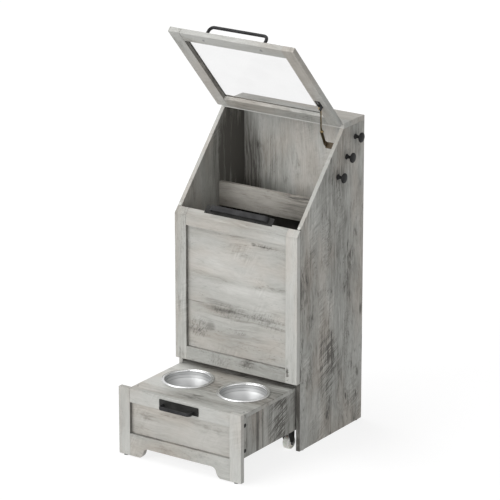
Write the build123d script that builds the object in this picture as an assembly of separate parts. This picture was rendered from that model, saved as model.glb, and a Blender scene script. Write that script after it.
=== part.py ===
from build123d import *
import math
import os

# An elevated dog feeder: a tall cabinet with a sloped, windowed lid over a storage well and a shelf,
# and a low drawer on two casters that carries two steel bowls. The drawer stands pulled out and the
# lid stands open. Millimetres. X runs along the front, +Y to the back, +Z up. While the parts are made,
# X = 0 is the cabinet's middle, Y = 0 the face of the front panel and Z = 0 the floor.

# ---- Driving sizes -------------------------------------------------------------------------------

# Cabinet
cabinet_width = 400.0
cabinet_depth = 328.0
cabinet_height = 880.0
side_t = 12.0            # side panels
top_t = 15.0             # top board
top_depth = 104.0        # top board, front to back
shelf_t = 12.0           # shelf, apron and storage floor
back_t = 9.0             # back panel
back_rebate = 6.0        # how far the back panel is let into each side
edge_round = 0.8         # rounding on the edges of every board
glide_t = 2.0            # floor glides
glide_r = 5.0

# Front panel, an overlay on the front edges of the sides
front_t = 16.0
front_bottom = 199.0
front_top = 617.0        # where the front face meets the slope
stile_w = 37.0
front_rail_bottom_h = 39.0
front_rail_top_h = 29.0
recess_depth = 10.0      # from the frame's face back to the centre panel
panel_lap = 6.0          # how far a centre panel is let into its frame
fit_gap = 0.1            # clearance round let-in panels, dowels and bolts

# Storage well and shelf
storage_floor_z = 200.0
apron_y = 195.0          # front face of the apron
shelf_z = 590.0          # underside of the shelf and the apron
apron_h = 69.0

# Lid
lid_t = 15.0
lid_gap = 2.0            # between the lid's underside and the slope when it is shut
lid_overhang = 15.0      # past the front corner, along the slope
lid_rear_gap = 3.2       # between the lid's rear end and the top board, along the slope
lid_frame_w = 37.0
lid_open_pitch = 48.0    # the open lid's lean above horizontal, in degrees
pane_t = 3.0
pane_depth = 10.5        # from the lid's underside to the pane
pane_lap = 5.0
dowel_r = 3.0
dowel_half = 14.0
bumper_r = 4.5
bumper_t = 1.6
bumper_s = 12.0          # bumper's place up the slope from the front corner

# Lid hinges, in the gap between the lid's end and the top board
hinge_x = 120.0
hinge_w = 50.0
hinge_leaf_t = 1.2
hinge_leaf_h = 12.0
knuckle_r = 2.6
knuckle_gap = 0.4
hinge_pin_r = 1.3
hinge_pin_clear = 0.06
pin_head_r = 2.2
pin_head_t = 0.8
hinge_ahead = 6.3        # pin ahead of the top board's front face
hinge_below = 4.5        # pin below the top board's top face

# Lid handle, a bent round bar
lid_handle_r = 4.5
lid_handle_span = 184.0
lid_handle_reach = 30.0  # from the lid's face to the middle of the bar
lid_handle_bend = 13.0
handle_bolt_r = 2.0
handle_bolt_in = 12.0
bolt_head_r = 4.0
bolt_head_t = 2.0

# Lid stay on the right side: a lower link on the cabinet, an upper arm on the lid
stay_link_in = 38.0      # from the side's inner face to the middle of the lower link
stay_arm_in = 8.0        # and to the middle of the arm at the lid
stay_link_w = 9.0
stay_arm_w = 4.6
stay_arm_flat = 11.0     # the arm's flat ends, before it slants
stay_t = 2.4
stay_gap = 0.5
stay_foot_from_top = 44.2    # lower pivot: down the slope from its top corner
stay_foot_below = 20.0       # and below the slope
stay_head_from_end = 96.0    # upper pivot: from the lid's rear end
stay_head_below = 8.6        # and below the lid's underside
stay_slack = 0.3             # keeps the two-link stay off its dead centres
stay_pin_r = 2.2
stay_plate_w = 18.0
stay_flange_h = 18.0
stay_screw_r = 1.6
stay_screw_head_r = 3.2
stay_screw_head_t = 1.2
stay_screw_in = 8.0

# Upper pull, on the bevel of the front panel's top and a cleat behind it
top_pull_len = 221.0
top_pull_h = 24.0
top_pull_t = 1.5
top_pull_on_bevel = 6.9  # how much of the plate's width lies on the front panel's bevel
top_pull_span = 185.0
top_pull_reach = 11.3    # from the slope to the outside of the strap
top_pull_lid_gap = 2.0   # between the strap and the edge of the shut lid's window
top_pull_strap_w = 15.5
top_pull_screw_in = 5.0  # screws in from the plate's ends
pull_cleat_t = 10.0
pull_cleat_h = 26.0      # front edge of the cleat
pull_cleat_short = 12.0  # the cleat's ends in from the plate's
strap_w = 10.0           # the drawer's strap
strap_t = 2.6
strap_bend = 8.0

# Drawer
drawer_pull_out = 265.0
drawer_bottom = 3.0
drawer_top_gap = 3.0     # below the front panel
drawer_front_t = 15.0
drawer_rail_top_h = 39.0
drawer_rail_bottom_z = 67.0
arch_z = 32.0
arch_foot_w = 69.0       # width of the feet beside the arch
arch_run = 26.0          # how far the arch's end curves reach
drawer_side_gap = 3.0
drawer_board_t = 12.0
drawer_top_z = 185.0
drawer_sides_z = 61.0
drawer_length = 289.0    # box behind the front
caster_rail_w = 44.0
drawer_pull_len = 128.0
drawer_pull_h = 24.0
drawer_pull_t = 2.0
drawer_pull_span = 100.0
drawer_pull_reach = 25.0
drawer_pull_drop = 3.5   # the strap's middle below the plate's
drawer_glide_in = 19.0   # glides in from the drawer front's ends
drawer_glide_r = 7.0

# Bowls
bowl_nearer = 1.0        # how much nearer the middle the bowls are than halfway out
bowl_back = 155.0        # bowl centres behind the back of the drawer front
bowl_rim_r = 73.0
bowl_rim_h = 2.6
bowl_hole_r = 67.0
bowl_mouth_r = 65.5
bowl_foot_r = 54.0
bowl_depth = 56.0
bowl_wall = 1.0
bowl_foot_round = 12.0

# Casters
caster_in = 14.0         # wheels' middles in from the drawer's side boards
caster_ahead = 13.0      # axle ahead of the box's rear end
caster_plate_ahead = 20.0    # and the fork's plate
wheel_r = 19.0
wheel_w = 19.0
wheel_round = 3.0
hub_r = 7.0
hub_proud = 0.8
axle_r = 3.0
axle_clear = 0.08
axle_head_r = 4.5
axle_head_t = 2.0
fork_t = 2.0
fork_w = 15.0            # cheeks at the axle
fork_top_w = 33.0        # and at the plate
fork_gap = 0.6
caster_plate_len = 30.0
caster_plate_w = 36.0
caster_plate_t = 2.5
caster_screw_r = 1.8
caster_screw_in = 9.0
caster_screw_x = 6.5     # screws to each side of the wheel's middle
caster_screw_edge = 5.0  # and in from the plate's ends

# Coat-knob hooks on the right side
hook_count = 3
hook_behind = 66.1       # the hooks' row behind the slope
hook_last = 13.0         # the top hook past the slope's top corner, along the slope
hook_pitch = 63.05
hook_disc_r = 14.0
hook_disc_t = 6.0
hook_reach = 24.0
hook_stem_r = 4.5
hook_dome_r = 46.0       # the disc's domed face
hook_base_r = 8.0
hook_base_t = 2.5
hook_stud_r = 2.0
hook_stud_in = 9.0

# Knock-down fittings
cam_r = 6.0
cam_t = 9.0
cam_set_back = 26.0      # cam centre behind the end of its board
cam_bolt_r = 2.5
cam_bolt_in = 9.0        # bolt's bite in the mating board
cam_bolt_head_in = 3.0   # bolt's reach into the cam
floor_cam_in = 45.0      # cams in from the front panel and the back panel, under the floor
top_cam_front_in = 30.0  # cams in from the top board's front
top_cam_rear_in = 20.0   # and from the back panel
front_cam_in = 60.0      # cams in from the front panel's ends
drawer_cam_in = 20.0     # cams in from the drawer sides' edges
drawer_screw_front_in = 45.0
drawer_screw_rear_in = 35.0
back_screw_in = 40.0
wood_screw_r = 1.5
wood_screw_head_r = 3.0
wood_screw_head_t = 1.6
wood_screw_len = 22.0

# ---- Worked out from the sizes above -------------------------------------------------------------

half_w = cabinet_width / 2
inner_x = half_w - side_t
stay_link_x = inner_x - stay_link_in
stay_arm_top_x = inner_x - stay_arm_in
top_front = cabinet_depth - top_depth
top_under = cabinet_height - top_t
back_y = cabinet_depth - back_t
slope_run = top_front
slope_rise = top_under - front_top
slope = math.atan2(slope_rise, slope_run)
slope_len = math.hypot(slope_run, slope_rise)
stay_foot_up_slope = slope_len - stay_foot_from_top
bevel_len = front_t / math.cos(slope)
front_rear_top = front_top + front_t * math.tan(slope)
front_inner_x = half_w - stile_w

lid_front_s = -lid_overhang
lid_rear_s = slope_len - lid_rear_gap
lid_window_x = half_w - lid_frame_w
hinge_y = top_front - hinge_ahead
hinge_z = cabinet_height - hinge_below
open_angle = math.degrees(slope) + lid_open_pitch

drawer_top_front = front_bottom - drawer_top_gap
drawer_face = -drawer_pull_out
drawer_y = drawer_face + drawer_front_t
drawer_end = drawer_y + drawer_length
drawer_half = inner_x - drawer_side_gap
drawer_in_x = drawer_half - drawer_board_t
drawer_glide_x = half_w - drawer_glide_in
arch_half = half_w - arch_foot_w
caster_x = drawer_in_x - caster_in
bowl_x = drawer_half / 2 - bowl_nearer
drawer_board_z = drawer_top_z - drawer_board_t
bowl_y = drawer_y + bowl_back
caster_y = drawer_end - caster_ahead
caster_plate_y = drawer_end - caster_plate_ahead
handle_face = drawer_face - drawer_pull_t - drawer_pull_reach

# The finished model's origin is at the bottom centre of its box as it stands, lid up and drawer out.
origin_x = hook_reach / 2
origin_y = (cabinet_depth + handle_face) / 2

# The sloped frame: x along the front, its y up the slope from the front corner, z out of the slope.
slope_plane = Plane(
    origin=(0, 0, front_top),
    x_dir=(1, 0, 0),
    z_dir=(0, -math.sin(slope), math.cos(slope)),
)
hinge_axis = Axis((0, hinge_y, hinge_z), (1, 0, 0))
X_DIR = Vector(1, 0, 0)
Y_DIR = Vector(0, 1, 0)
Z_DIR = Vector(0, 0, 1)


# ---- Helpers -------------------------------------------------------------------------------------

def block(x0, x1, y0, y1, z0, z1):
    """A box between two corners."""
    size = Box(x1 - x0, y1 - y0, z1 - z0)
    return Pos((x0 + x1) / 2, (y0 + y1) / 2, (z0 + z1) / 2) * size


def board(x0, x1, y0, y1, z0, z1):
    """A board with softly rounded edges."""
    plain = block(x0, x1, y0, y1, z0, z1)
    return fillet(plain.edges(), edge_round)


def side_profile(points, x0, x1):
    """A board cut to an outline in the Y-Z plane, with softly rounded edges."""
    face = make_face(Polyline(*points, close=True))
    plain = Plane.YZ.offset(x0) * extrude(face, x1 - x0)
    return fillet(plain.edges(), edge_round)


def rod(start, direction, radius, length):
    """A cylinder from a point along a direction."""
    plane = Plane(origin=start, z_dir=direction)
    return plane.location * Cylinder(radius, length, align=(Align.CENTER, Align.CENTER, Align.MIN))


def screw(seat, direction, radius, length, head_r, head_t):
    """A flat-headed screw: its head ends flush at the seat point, its shank goes on from there."""
    head = rod(seat, direction, head_r, head_t)
    shank = rod(Vector(*seat) + direction * head_t, direction, radius, length)
    return head + shank


def screw_hole(seat, direction, radius, length, head_r, head_t):
    """The hole that such a screw sits in, a clearance larger all round."""
    head = rod(seat, direction, head_r + fit_gap, head_t + fit_gap)
    shank = rod(seat, direction, radius + fit_gap, head_t + length + fit_gap)
    return head + shank


def cut(part, tools):
    """A part with each tool taken away."""
    for tool in tools:
        part = part - tool
    return part


def strap(span, reach, width, thickness, bend):
    """A pull's strap: feet on z = 0 a span apart along x, standing off by reach, width along y."""
    outer = RectangleRounded(span + thickness, 2 * reach, bend + thickness)
    inner = RectangleRounded(span - thickness, 2 * (reach - thickness), bend)
    ring = outer - inner
    upper = Pos(0, reach) * Rectangle(2 * span, 2 * reach)
    arch = ring & upper
    return Plane.XZ.offset(-width / 2) * extrude(arch, width)


def lid_place(part):
    """A part made in the sloped frame, set on the lid as it stands open."""
    return (slope_plane.location * part).rotate(hinge_axis, -open_angle)


def slope_place(part):
    """A part made in the sloped frame, set on the cabinet."""
    return slope_plane.location * part


def turn_yz(point, angle):
    """A (y, z) point turned about the hinge pin, by the right-hand rule about +X."""
    dy = point[0] - hinge_y
    dz = point[1] - hinge_z
    c = math.cos(angle)
    s = math.sin(angle)
    return hinge_y + dy * c - dz * s, hinge_z + dy * s + dz * c


def slope_point(s, out):
    """The (y, z) of a point a distance up the slope and a distance out of it."""
    y = s * math.cos(slope) - out * math.sin(slope)
    z = front_top + s * math.sin(slope) + out * math.cos(slope)
    return y, z


# ---- Cam fittings --------------------------------------------------------------------------------

def cam_fitting(end, bolt_way, cam_way):
    """A cam and its bolt where a board's end meets its mate.

    end is the point where the bolt's line crosses the joint, bolt_way points into the mating board,
    and cam_way points from the bolt's line out of the face that the cam is let into. The bolt's line
    lies the cam's middle height under that face.
    """
    end = Vector(*end)
    centre = end - bolt_way * cam_set_back
    foot = centre - cam_way * (cam_t / 2)
    disc = rod(foot, cam_way, cam_r, cam_t)
    start = centre + bolt_way * (cam_r - cam_bolt_head_in)
    bolt_len = cam_set_back - cam_r + cam_bolt_head_in + cam_bolt_in
    bolt = rod(start, bolt_way, cam_bolt_r, bolt_len)
    seat = rod(start - bolt_way * fit_gap, bolt_way, cam_bolt_r + fit_gap, bolt_len + 2 * fit_gap)
    slot = rod(centre + cam_way * (cam_t / 2), -cam_way, cam_r / 3, cam_t / 5)
    bore = rod(foot - cam_way * fit_gap, cam_way, cam_r + fit_gap, cam_t + 2 * fit_gap)
    return disc - seat - slot, bolt, bore, seat


class Fittings:
    """Collects the cams and bolts of one body, and the holes they need."""

    def __init__(self):
        self.cams = []
        self.bolts = []
        self.holes = []

    def add(self, end, bolt_way, cam_way):
        cam, bolt, bore, seat = cam_fitting(end, bolt_way, cam_way)
        self.cams.append(cam)
        self.bolts.append(bolt)
        self.holes += [bore, seat]


def board_line(face, cam_way_sign):
    """Where a cam's bolt line lies, from the face that the cam is let into."""
    return face - cam_way_sign * (cam_t / 2)


cabinet_fit = Fittings()
floor_line = board_line(storage_floor_z, -1)
shelf_line = board_line(shelf_z, -1)
apron_line = board_line(apron_y + shelf_t, 1)
side_line = inner_x + cam_t / 2
for side in (-1, 1):
    outward = X_DIR * side
    for y in (front_t + floor_cam_in, back_y - floor_cam_in):
        cabinet_fit.add((side * inner_x, y, floor_line), outward, -Z_DIR)
    cabinet_fit.add((side * inner_x, (apron_y + shelf_t + back_y) / 2, shelf_line), outward, -Z_DIR)
    cabinet_fit.add((side * inner_x, apron_line, shelf_z + shelf_t + apron_h / 2), outward, Y_DIR)
    for y in (top_front + top_cam_front_in, back_y - top_cam_rear_in):
        cabinet_fit.add((side * side_line, y, top_under), Z_DIR, -outward)
    for z in (front_bottom + front_cam_in, front_top - front_cam_in):
        cabinet_fit.add((side * side_line, front_t, z), -Y_DIR, -outward)

drawer_fit = Fittings()
drawer_line = drawer_half - cam_t / 2
drawer_cam_z = (drawer_sides_z + drawer_cam_in, drawer_board_z - drawer_cam_in)
for side in (-1, 1):
    outward = X_DIR * side
    for z in drawer_cam_z:
        drawer_fit.add((side * drawer_line, drawer_y, z), -Y_DIR, outward)


# ---- Cabinet boards ------------------------------------------------------------------------------

def side_panel(side):
    """One side: upright, with its front cut back along the slope and a rebate for the back panel."""
    outline = [
        (front_t, glide_t),
        (cabinet_depth, glide_t),
        (cabinet_depth, top_under),
        (top_front, top_under),
        (front_t, front_rear_top),
    ]
    x0, x1 = sorted((side * inner_x, side * half_w))
    panel = side_profile(outline, x0, x1)
    r0, r1 = sorted((side * (inner_x - 1), side * (inner_x + back_rebate)))
    rebate = block(r0, r1, back_y, cabinet_depth + 1, 0, top_under + 1)
    return cut(panel - rebate, cabinet_fit.holes)


def top_board():
    plain = board(-half_w, half_w, top_front, cabinet_depth, top_under, cabinet_height)
    return cut(plain, cabinet_fit.holes)


def back_panel():
    reach = inner_x + back_rebate - fit_gap
    return board(-reach, reach, back_y, cabinet_depth, storage_floor_z - drawer_top_z, top_under)


def storage_floor():
    plain = board(-inner_x, inner_x, front_t, back_y, storage_floor_z, storage_floor_z + shelf_t)
    return cut(plain, cabinet_fit.holes)


def shelf_board():
    plain = board(-inner_x, inner_x, apron_y + shelf_t, back_y, shelf_z, shelf_z + shelf_t)
    return cut(plain, cabinet_fit.holes)


def shelf_apron():
    plain = board(-inner_x, inner_x, apron_y, apron_y + shelf_t, shelf_z, shelf_z + apron_h)
    return cut(plain, cabinet_fit.holes)


# ---- Front panel ---------------------------------------------------------------------------------

front_panel_z0 = front_bottom + front_rail_bottom_h
front_panel_z1 = front_top - front_rail_top_h


def centre_panel(half, y0, y1, z0, z1, grow=0.0):
    """A centre panel let into its frame, or the rebate for it when grown."""
    lap = panel_lap + grow
    return block(-half - lap, half + lap, y0 - grow, y1 + grow, z0 - lap, z1 + lap)


def front_outline(bottom):
    """A front board's side view, its top bevelled in line with the slope."""
    return [(0, bottom), (front_t, bottom), (front_t, front_rear_top), (0, front_top)]


front_rebate = centre_panel(front_inner_x, recess_depth, front_t, front_panel_z0, front_panel_z1, fit_gap)


def front_stile(side):
    x0, x1 = sorted((side * front_inner_x, side * half_w))
    plain = side_profile(front_outline(front_bottom), x0, x1)
    return cut(plain - front_rebate, cabinet_fit.holes)


def front_rail_top():
    plain = side_profile(front_outline(front_panel_z1), -front_inner_x, front_inner_x)
    return cut(plain - front_rebate, pull_recess)


def front_rail_bottom():
    plain = board(-front_inner_x, front_inner_x, 0, front_t, front_bottom, front_panel_z0)
    return plain - front_rebate


# ---- Upper pull, lying in the slope at the top of the front panel ------------------------------------

top_pull_mid = bevel_len - top_pull_on_bevel + top_pull_h / 2
top_pull_strap_mid = lid_frame_w - lid_overhang + top_pull_lid_gap + top_pull_strap_w / 2
top_pull_screw_s = bevel_len - top_pull_on_bevel / 2
top_pull_screw_x = top_pull_len / 2 - top_pull_screw_in


def top_pull_box(grow):
    plate = Box(top_pull_len + 2 * grow, top_pull_h + 2 * grow, top_pull_t + grow)
    return Pos(0, top_pull_mid, -(top_pull_t + grow) / 2) * plate


def top_pull_seats():
    return [(side * top_pull_screw_x, top_pull_screw_s, 0) for side in (-1, 1)]


def top_pull_screw_parts(maker):
    """The two screws, or their holes, through the plate into the bevel."""
    parts = []
    for seat in top_pull_seats():
        part = maker(seat, -Z_DIR, stay_screw_r, stay_screw_in, stay_screw_head_r, top_pull_t * 0.6)
        parts.append(slope_place(part))
    return parts


top_pull_holes = top_pull_screw_parts(screw_hole)
pull_recess = [slope_place(top_pull_box(fit_gap))] + top_pull_holes


def pull_cleat():
    """A strip behind the top rail that carries the pull's plate, its top in line with the slope."""
    half = top_pull_len / 2 - pull_cleat_short
    rear = front_t + pull_cleat_t
    rear_top = front_rear_top + pull_cleat_t * math.tan(slope)
    low = front_rear_top - pull_cleat_h
    outline = [(front_t, low), (rear, low), (rear, rear_top), (front_t, front_rear_top)]
    return cut(side_profile(outline, -half, half), pull_recess)


def top_pull_plate():
    return cut(slope_place(top_pull_box(0)), top_pull_holes)


def top_pull_strap():
    bow = strap(top_pull_span, top_pull_reach, top_pull_strap_w, strap_t, strap_bend)
    return slope_place(Pos(0, top_pull_strap_mid, 0) * bow)


# ---- Side hooks, floor glides and lid bumpers --------------------------------------------------------

def hook_places():
    top = slope_len + hook_last
    return [slope_point(top - i * hook_pitch, -hook_behind) for i in range(hook_count)]


def hook(y, z):
    """A turned knob: base, waisted stem and a domed disc, with a stud in the side panel."""
    disc_x = hook_reach - hook_disc_t
    outline = [
        (0, 0),
        (hook_base_r, 0),
        (hook_base_r, hook_base_t * 0.6),
        (hook_stem_r, hook_base_t * 1.8),
        (hook_stem_r, disc_x - 2),
        (hook_disc_r - 1, disc_x),
        (hook_disc_r, disc_x + 1.2),
        (hook_disc_r, hook_reach),
        (0, hook_reach),
    ]
    turned = revolve(Plane.XZ * make_face(Polyline(*outline, close=True)), Axis.Z)
    knob = turned & (Pos(0, 0, hook_reach - hook_dome_r) * Sphere(hook_dome_r))
    stud = rod((0, 0, 0), -Z_DIR, hook_stud_r, hook_stud_in)
    plane = Plane(origin=(half_w, y, z), x_dir=(0, 1, 0), z_dir=(1, 0, 0))
    return plane.location * (knob + stud)


def hook_holes():
    depth = hook_stud_in + fit_gap
    return [rod((half_w, y, z), -X_DIR, hook_stud_r + fit_gap, depth) for y, z in hook_places()]


def cabinet_glides():
    x = half_w - side_t / 2
    feet = []
    for side in (-1, 1):
        for y in (front_t + 20, cabinet_depth - 20):
            feet.append(rod((side * x, y, 0), Z_DIR, glide_r, glide_t))
    return feet


def lid_bumpers():
    pads = []
    for side in (-1, 1):
        foot = (side * (half_w - side_t / 2), bumper_s + front_t, 0)
        pads.append(slope_place(rod(foot, Z_DIR, bumper_r, bumper_t)))
    return pads


# ---- Lid, made flat in the sloped frame ----------------------------------------------------------

lid_low = lid_gap
lid_high = lid_gap + lid_t
window_front_s = lid_front_s + lid_frame_w
window_rear_s = lid_rear_s - lid_frame_w
pane_low = lid_low + pane_depth


def pane_block(grow):
    lap = pane_lap + grow
    return block(
        -lid_window_x - lap,
        lid_window_x + lap,
        window_front_s - lap,
        window_rear_s + lap,
        pane_low - grow,
        pane_low + pane_t + grow,
    )


def lid_dowel_parts(radius, half_len):
    """Two dowels across each of the lid's four corner joints."""
    parts = []
    z = lid_low + pane_depth / 2
    for side in (-1, 1):
        for s in (lid_front_s + lid_frame_w / 2, lid_rear_s - lid_frame_w / 2):
            for shift in (-1, 1):
                y = s + shift * lid_frame_w / 5
                parts.append(rod((side * lid_window_x - half_len, y, z), X_DIR, radius, 2 * half_len))
    return parts


lid_grooves = [pane_block(fit_gap)] + lid_dowel_parts(dowel_r + fit_gap, dowel_half + fit_gap)
handle_s = lid_front_s + lid_frame_w / 2


def lid_stile(side):
    x0, x1 = sorted((side * lid_window_x, side * half_w))
    plain = board(x0, x1, lid_front_s, lid_rear_s, lid_low, lid_high)
    return cut(plain, lid_grooves + hinge_seats + (stay_lid_holes if side > 0 else []))


def lid_rail(s0, s1):
    plain = board(-lid_window_x, lid_window_x, s0, s1, lid_low, lid_high)
    return cut(plain, lid_grooves + hinge_seats + handle_bolt_holes)


def lid_handle():
    """A round bar with bent ends that stand on the lid."""
    half = lid_handle_span / 2
    points = [
        (-half, 0, lid_high),
        (-half, 0, lid_high + lid_handle_reach),
        (half, 0, lid_high + lid_handle_reach),
        (half, 0, lid_high),
    ]
    path = FilletPolyline(*points, radius=lid_handle_bend)
    bar = sweep(Plane(origin=points[0], z_dir=(0, 0, 1)) * Circle(lid_handle_r), path)
    return cut(Pos(0, handle_s, 0) * bar, handle_bolt_holes)


def handle_bolt_parts(maker, grow):
    parts = []
    for side in (-1, 1):
        seat = (side * lid_handle_span / 2, handle_s, lid_low)
        length = lid_t - bolt_head_t + handle_bolt_in + grow
        parts.append(maker(seat, Z_DIR, handle_bolt_r, length, bolt_head_r, bolt_head_t))
    return parts


handle_bolt_holes = handle_bolt_parts(screw_hole, 0)


# ---- Hinges --------------------------------------------------------------------------------------

# The pin lies in the gap between the lid's rear end and the top board's front face. The fixed leaf
# is screwed to the top board's face, the lid's leaf to the lid's end.
pin_s = hinge_y * math.cos(slope) + (hinge_z - front_top) * math.sin(slope)
pin_out = -hinge_y * math.sin(slope) + (hinge_z - front_top) * math.cos(slope)
fixed_leaf_z = hinge_z - hinge_leaf_h * 0.6
lid_leaf_low = (lid_low + lid_high - hinge_leaf_h) / 2
third = (hinge_w - 2 * knuckle_gap) / 3
knuckle_spans = [
    (-hinge_w / 2, -hinge_w / 2 + third),
    (-third / 2, third / 2),
    (hinge_w / 2 - third, hinge_w / 2),
]
hinge_screw_x = hinge_w / 3


def hinge_centres():
    return (-hinge_x, hinge_x)


def knuckle(x0, x1, y, z):
    """One rolled knuckle with its bore."""
    tube = rod((x0, y, z), X_DIR, knuckle_r, x1 - x0)
    return tube


def hinge_bore(cx, y, z):
    return rod((cx - hinge_w, y, z), X_DIR, hinge_pin_r + hinge_pin_clear, 2 * hinge_w)


def fixed_screw_parts(maker):
    parts = []
    z = fixed_leaf_z + hinge_leaf_h / 2
    for cx in hinge_centres():
        for side in (-1, 1):
            seat = (cx + side * hinge_screw_x, top_front - hinge_leaf_t, z)
            head_t = hinge_leaf_t * 0.7
            parts.append(maker(seat, Y_DIR, stay_screw_r, stay_screw_in, stay_screw_head_r, head_t))
    return parts


def lid_screw_parts(maker):
    parts = []
    z = lid_leaf_low + hinge_leaf_h / 2
    for cx in hinge_centres():
        for side in (-1, 1):
            seat = (cx + side * hinge_screw_x, lid_rear_s + hinge_leaf_t, z)
            head_t = hinge_leaf_t * 0.7
            parts.append(maker(seat, -Y_DIR, stay_screw_r, stay_screw_in, stay_screw_head_r, head_t))
    return parts


hinge_seats = lid_screw_parts(screw_hole)
fixed_screw_holes = fixed_screw_parts(screw_hole)


def hinge_fixed_leaf(cx):
    """A leaf on the top board's face, with webs out to the two outer knuckles."""
    leaf = block(
        cx - hinge_w / 2,
        cx + hinge_w / 2,
        top_front - hinge_leaf_t,
        top_front,
        fixed_leaf_z,
        fixed_leaf_z + hinge_leaf_h,
    )
    for x0, x1 in (knuckle_spans[0], knuckle_spans[2]):
        x0, x1 = cx + x0, cx + x1
        web = block(x0, x1, hinge_y, top_front, hinge_z - knuckle_r, hinge_z - knuckle_r + hinge_leaf_t)
        leaf = leaf + web + knuckle(x0, x1, hinge_y, hinge_z)
    return cut(leaf - hinge_bore(cx, hinge_y, hinge_z), fixed_screw_holes)


def hinge_lid_leaf(cx):
    """A leaf on the lid's end, with a web out to the middle knuckle, in the sloped frame."""
    leaf = block(
        cx - hinge_w / 2,
        cx + hinge_w / 2,
        lid_rear_s,
        lid_rear_s + hinge_leaf_t,
        lid_leaf_low,
        lid_leaf_low + hinge_leaf_h,
    )
    x0, x1 = cx + knuckle_spans[1][0], cx + knuckle_spans[1][1]
    web_low = pin_out - knuckle_r
    web = block(x0, x1, lid_rear_s, pin_s, web_low, web_low + hinge_leaf_t)
    leaf = leaf + web + knuckle(x0, x1, pin_s, pin_out)
    return cut(leaf - hinge_bore(cx, pin_s, pin_out), hinge_seats)


def hinge_pin(cx):
    """A pin with a head at each end, just clear of the outer knuckles."""
    start = cx - hinge_w / 2
    shank = rod((start, hinge_y, hinge_z), X_DIR, hinge_pin_r, hinge_w)
    left = rod((start, hinge_y, hinge_z), -X_DIR, pin_head_r, pin_head_t)
    right = rod((start + hinge_w, hinge_y, hinge_z), X_DIR, pin_head_r, pin_head_t)
    return shank + left + right


# ---- Lid stay ------------------------------------------------------------------------------------

stay_foot = slope_point(stay_foot_up_slope, -stay_foot_below)
stay_head_shut = slope_point(lid_rear_s - stay_head_from_end, lid_gap - stay_head_below)
stay_head_open = turn_yz(stay_head_shut, -math.radians(open_angle))
open_reach = math.dist(stay_foot, stay_head_open)
shut_reach = math.dist(stay_foot, stay_head_shut)
stay_arm_len = (open_reach + shut_reach) / 2
stay_link_len = (open_reach - shut_reach) / 2 + stay_slack


def elbow(head, reach):
    """The elbow's (y, z) for a head position, on the rear side of the line from foot to head."""
    along = (reach**2 + stay_link_len**2 - stay_arm_len**2) / (2 * reach)
    aside = math.sqrt(max(stay_link_len**2 - along**2, 0.0))
    uy = (head[0] - stay_foot[0]) / reach
    uz = (head[1] - stay_foot[1]) / reach
    return stay_foot[0] + along * uy + aside * uz, stay_foot[1] + along * uz - aside * uy


elbow_open = elbow(stay_head_open, open_reach)
elbow_shut = elbow(stay_head_shut, shut_reach)
link_x0 = stay_link_x - stay_t / 2
link_x1 = stay_link_x + stay_t / 2
arm_low_x = link_x1 + stay_gap + stay_t / 2
rivet_t = 1.2
rivet_r = stay_pin_r * 1.6


def eye(x0, x1, y, z, radius):
    return rod((x0, y, z), X_DIR, radius, x1 - x0)


def stay_link():
    """The lower link: a flat bar with round ends, and its half of the elbow rivet."""
    (fy, fz), (ey, ez) = stay_foot, elbow_open
    radius = stay_link_w / 2
    middle = Plane(origin=(link_x0, (fy + ey) / 2, (fz + ez) / 2), x_dir=(0, ey - fy, ez - fz), z_dir=(1, 0, 0))
    length = math.dist(stay_foot, elbow_open)
    bar = middle.location * (Pos(0, 0, stay_t / 2) * Box(length, stay_link_w, stay_t))
    body = bar + eye(link_x0, link_x1, fy, fz, radius) + eye(link_x0, link_x1, ey, ez, radius)
    body = body + eye(link_x0 - rivet_t, link_x0, ey, ez, rivet_r)
    return body - eye(link_x0 - 1, link_x1 + 1, fy, fz, stay_pin_r + axle_clear)


def stay_arm():
    """The upper arm: a thin bar, flat at the elbow, slanting outward, and flat again at the lid."""
    (ey, ez), (hy, hz) = elbow_open, stay_head_open
    along = Vector(0, hy - ey, hz - ez)
    length = along.length
    plane = Plane(origin=(0, ey, ez), x_dir=along, z_dir=along.cross(X_DIR))
    half = stay_t / 2
    outline = [
        (0, arm_low_x - half),
        (stay_arm_flat, arm_low_x - half),
        (length - stay_arm_flat, stay_arm_top_x - half),
        (length, stay_arm_top_x - half),
        (length, stay_arm_top_x + half),
        (length - stay_arm_flat, stay_arm_top_x + half),
        (stay_arm_flat, arm_low_x + half),
        (0, arm_low_x + half),
    ]
    face = make_face(Polyline(*outline, close=True))
    shank = plane.offset(-stay_arm_w / 2).location * extrude(face, stay_arm_w)
    lower_eye = eye(arm_low_x - half, arm_low_x + half, ey, ez, stay_arm_w * 0.8)
    upper_eye = eye(stay_arm_top_x - half, stay_arm_top_x + half, hy, hz, stay_arm_w * 0.95)
    rivet = eye(arm_low_x + half, arm_low_x + half + rivet_t, ey, ez, rivet_r)
    hole = eye(stay_arm_top_x - stay_t, stay_arm_top_x + stay_t, hy, hz, stay_pin_r + axle_clear)
    return shank + lower_eye + upper_eye + rivet - hole


ear_x0 = link_x1 + stay_gap
ear_x1 = ear_x0 + stay_t
side_plate_s = stay_foot_up_slope
side_ear_low = -stay_foot_below - stay_link_w * 0.6
side_plate_low = side_ear_low - stay_t


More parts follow.
